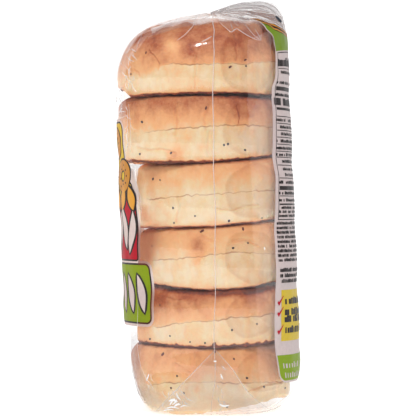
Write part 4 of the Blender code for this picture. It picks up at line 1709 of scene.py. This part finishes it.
class BAGELBAG_OT_front_print(bpy.types.Operator):
    """Prints the front panel: an arched field with rings over bands with grains"""
    bl_idname = "bagel_bag.front_print"
    bl_label = "Front print"

    def execute(self, context):
        colours = context.scene.bagel_bag_colours
        panel = Panel(math.pi, FRONT_PRINT_HALF)
        white = front_ink("white_front_ink", "#E2D8D8", 0.42)
        black = front_ink("black_front_ink", "#2B2222")
        fields = (
            ("yellow_front_ink", colours.yellow, bell(0.0252, 0.0395, 0.1365, 0.1610, 0.1862)),
            ("red_front_ink", colours.red, rounded_box(-0.0386, 0.0985, 0.0386, 0.1370, 0.001)),
            ("green_front_ink", colours.green, rounded_box(-0.0482, 0.0586, 0.0482, 0.0950, 0.003)),
        )
        layers = []
        for k, (name, colour, ring) in enumerate(fields):
            # Where two fields overlap, the lower one on the panel is printed over the other
            over = 0.00003 * k
            layers += [
                ("border", [grown(ring, 0.0028)], 0.00010 + over, white),
                ("outline", [grown(ring, 0.0012)], 0.00020 + over, black),
                ("field", [ring], 0.00030 + over, front_ink(name, colour, 0.42)),
            ]
        # Golden-brown rings stand for bagels, and amber and white almonds for grain
        ring_ink = front_ink("golden_ring_ink", "#C98A34")
        dots = []
        for u, v, radius in (
            (-0.0125, 0.1720, 0.0100), (0.0125, 0.1735, 0.0095), (0.0010, 0.1550, 0.0085),
            (-0.0230, 0.1500, 0.0100), (0.0235, 0.1520, 0.0105),
        ):
            rim, hole = disc((u, v), radius), disc((u, v), radius * 0.36)
            layers.append(("ring_line", [(grown(rim, 0.0012), grown(hole, -0.0010))], 0.00042, black))
            layers.append(("ring", [(rim, hole)], 0.00052, ring_ink))
            for turn in np.linspace(0, 2 * math.pi, 9, endpoint=False):
                reach = radius * (0.60 + 0.14 * math.sin(5 * turn))
                dots.append(disc((u + reach * math.cos(turn), v + reach * math.sin(turn)), 0.0007, 8))
        pale = []
        for k in range(8):
            sign = (-1) ** k
            pale.append(kernel((-0.0332 + 0.0095 * k, 0.1175 + 0.0015 * sign), 0.0036, 0.0140, 0.20 * sign))
        pale += [kernel((-0.0400 + 0.0115 * k, 0.0768), 0.0034, 0.0125, 0.25) for k in range(8)]
        golden = [kernel((-0.0345 + 0.0115 * k, 0.1376), 0.0040, 0.0080, 0.30 * (-1) ** k) for k in range(7)]
        layers += [
            ("golden_lines", [grown(ring, 0.0018) for ring in golden], 0.00044, black),
            ("golden", golden, 0.00054, front_ink("amber_grain_ink", "#E0A03A")),
            ("kernel_lines", [grown(ring, 0.0017) for ring in pale], 0.00042, black),
            ("kernels", pale, 0.00052, white), ("dots", dots, 0.00062, black),
        ]
        prints = [ink(name, panel, outlines, stand, colour) for name, outlines, stand, colour in layers]
        piece(joined("front_print", prints))
        return {"FINISHED"}


# ---- Stage --------------------------------------------------------------------------------------------
FLOOR_DROP = 0.0005        # the floor lies this far under the bag, so that the two never coincide
FLOOR_GLOW = 0.74
SWEEP_RADIUS = 0.8
# The room's light, how much brighter it is to the camera, and by how much it is dimmed in the film's gloss
ROOM_LIGHT, ROOM_TO_THE_EYE, ROOM_IN_THE_GLOSS = 0.46, 0.54, -0.26
# Lights: name, place, width and height, watts, whether it lights matte surfaces and whether gloss shows it
LIGHTS = (
    ("key_softbox", (-0.31, -1.75, 2.55), (0.05, 0.13), 41.5, True, True),
    ("right_card", (1.14, -0.37, 0.30), (1.1, 1.4), 6, False, True),
    ("left_fill", (-1.5, -1.3, 0.5), (0.9, 0.9), 3.4, True, False),
    ("right_fill", (1.6, -1.2, 0.35), (0.9, 0.9), 1.8, True, False),
)


def aim(obj, place, target):
    """Puts a light or camera at a place, turned to a target."""
    obj.location = place
    obj.rotation_euler = (Vector(target) - Vector(place)).to_track_quat("-Z", "Y").to_euler()


def softbox(name, place, size, power, lights_diffuse, shows_in_gloss):
    """A rectangular studio light that faces the bag."""
    data = bpy.data.lights.new(name, "AREA")
    data.shape = "RECTANGLE"
    data.size, data.size_y = size
    data.energy = power
    light = linked(name, data)
    aim(light, place, BAG_MIDDLE)
    light.visible_diffuse, light.visible_glossy = lights_diffuse, shows_in_gloss


class BAGELBAG_OT_stage(bpy.types.Operator):
    """Makes the pale floor, the soft lights and the camera"""
    bl_idname = "bagel_bag.stage"
    bl_label = "Stage"

    def execute(self, context):
        scene = context.scene
        # White paper that sweeps up behind the bag, lit evenly
        material, tree = new_material("white_paper_sweep")
        finished(material, bsdf(
            tree, "Principled", Base_Color=linear("#BEBEBE"), Roughness=0.9, Emission_Color=WHITE,
            Emission_Strength=FLOOR_GLOW,
        ))
        turns = np.linspace(0.1, math.pi / 2, 12)
        depth = [(-3.0, 0.0), (1.2, 0.0)]
        depth += [(1.2 + SWEEP_RADIUS * math.sin(t), SWEEP_RADIUS * (1 - math.cos(t))) for t in turns]
        depth += [(2.0, 3.0)]
        points = [(x, y, z - FLOOR_DROP) for y, z in depth for x in (-4.0, 4.0)]
        floor = new_object("floor", points, grid_faces(len(depth), 2), material)
        world = bpy.data.worlds.new("studio")
        world.use_nodes = True
        # The room is white to the eye and lights the bag evenly, but shows only dimly in the film, as a
        # studio's dark end does
        tree = world.node_tree
        backdrop = tree.nodes["Background"]
        rays = add(tree, "ShaderNodeLightPath").outputs
        lit = maths(tree, "MULTIPLY_ADD", rays["Is Camera Ray"], ROOM_TO_THE_EYE, ROOM_LIGHT)
        strength = maths(tree, "MULTIPLY_ADD", rays["Is Glossy Ray"], ROOM_IN_THE_GLOSS, lit)
        backdrop.inputs["Color"].default_value = WHITE
        tree.links.new(strength, backdrop.inputs["Strength"])
        scene.world = world
        for light in LIGHTS:
            softbox(*light)
        camera = bpy.data.cameras.new("camera")
        camera.sensor_width = 36.0
        camera.lens = camera.sensor_width * FOCAL_PX / FRAME_PX
        view = linked("camera", camera)
        aim(view, (CAMERA_X, -CAMERA_DISTANCE, CAMERA_HEIGHT), (CAMERA_X, 0.0, CAMERA_HEIGHT))
        scene.camera = view
        scene.view_settings.view_transform = "Standard"
        scene.cycles.transparent_max_bounces = 32
        return {"FINISHED"}


class BAGELBAG_PT_panel(bpy.types.Panel):
    """Lists the bag's pieces"""
    bl_idname = "BAGELBAG_PT_panel"
    bl_label = "Bagel bag"
    bl_space_type = "VIEW_3D"
    bl_region_type = "UI"
    bl_category = "Bagel bag"

    def draw(self, context):
        for group in (context.scene.bagel_bag_sizes, context.scene.bagel_bag_colours):
            for name in group.bl_rna.properties.keys():
                if name not in ("rna_type", "name"):
                    self.layout.prop(group, name)
        for operator in OPERATORS:
            self.layout.operator(operator.bl_idname)


OPERATORS = (
    BAGELBAG_OT_bagels, BAGELBAG_OT_seeds, BAGELBAG_OT_film, BAGELBAG_OT_tail, BAGELBAG_OT_back_print,
    BAGELBAG_OT_front_print, BAGELBAG_OT_stage,
)
CLASSES = (BagelBagSizes, BagelBagColours, *OPERATORS, BAGELBAG_PT_panel)


def register():
    for cls in CLASSES:
        bpy.utils.register_class(cls)
    bpy.types.Scene.bagel_bag_sizes = PointerProperty(type=BagelBagSizes)
    bpy.types.Scene.bagel_bag_colours = PointerProperty(type=BagelBagColours)


def unregister():
    del bpy.types.Scene.bagel_bag_sizes
    del bpy.types.Scene.bagel_bag_colours
    for cls in reversed(CLASSES):
        bpy.utils.unregister_class(cls)


def main():
    register()
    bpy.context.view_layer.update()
    bpy.ops.bagel_bag.bagels()
    bpy.ops.bagel_bag.seeds()
    bpy.ops.bagel_bag.film()
    bpy.ops.bagel_bag.tail()
    bpy.ops.bagel_bag.back_print()
    bpy.ops.bagel_bag.front_print()
    bpy.ops.bagel_bag.stage()


if __name__ == "__main__":
    main()
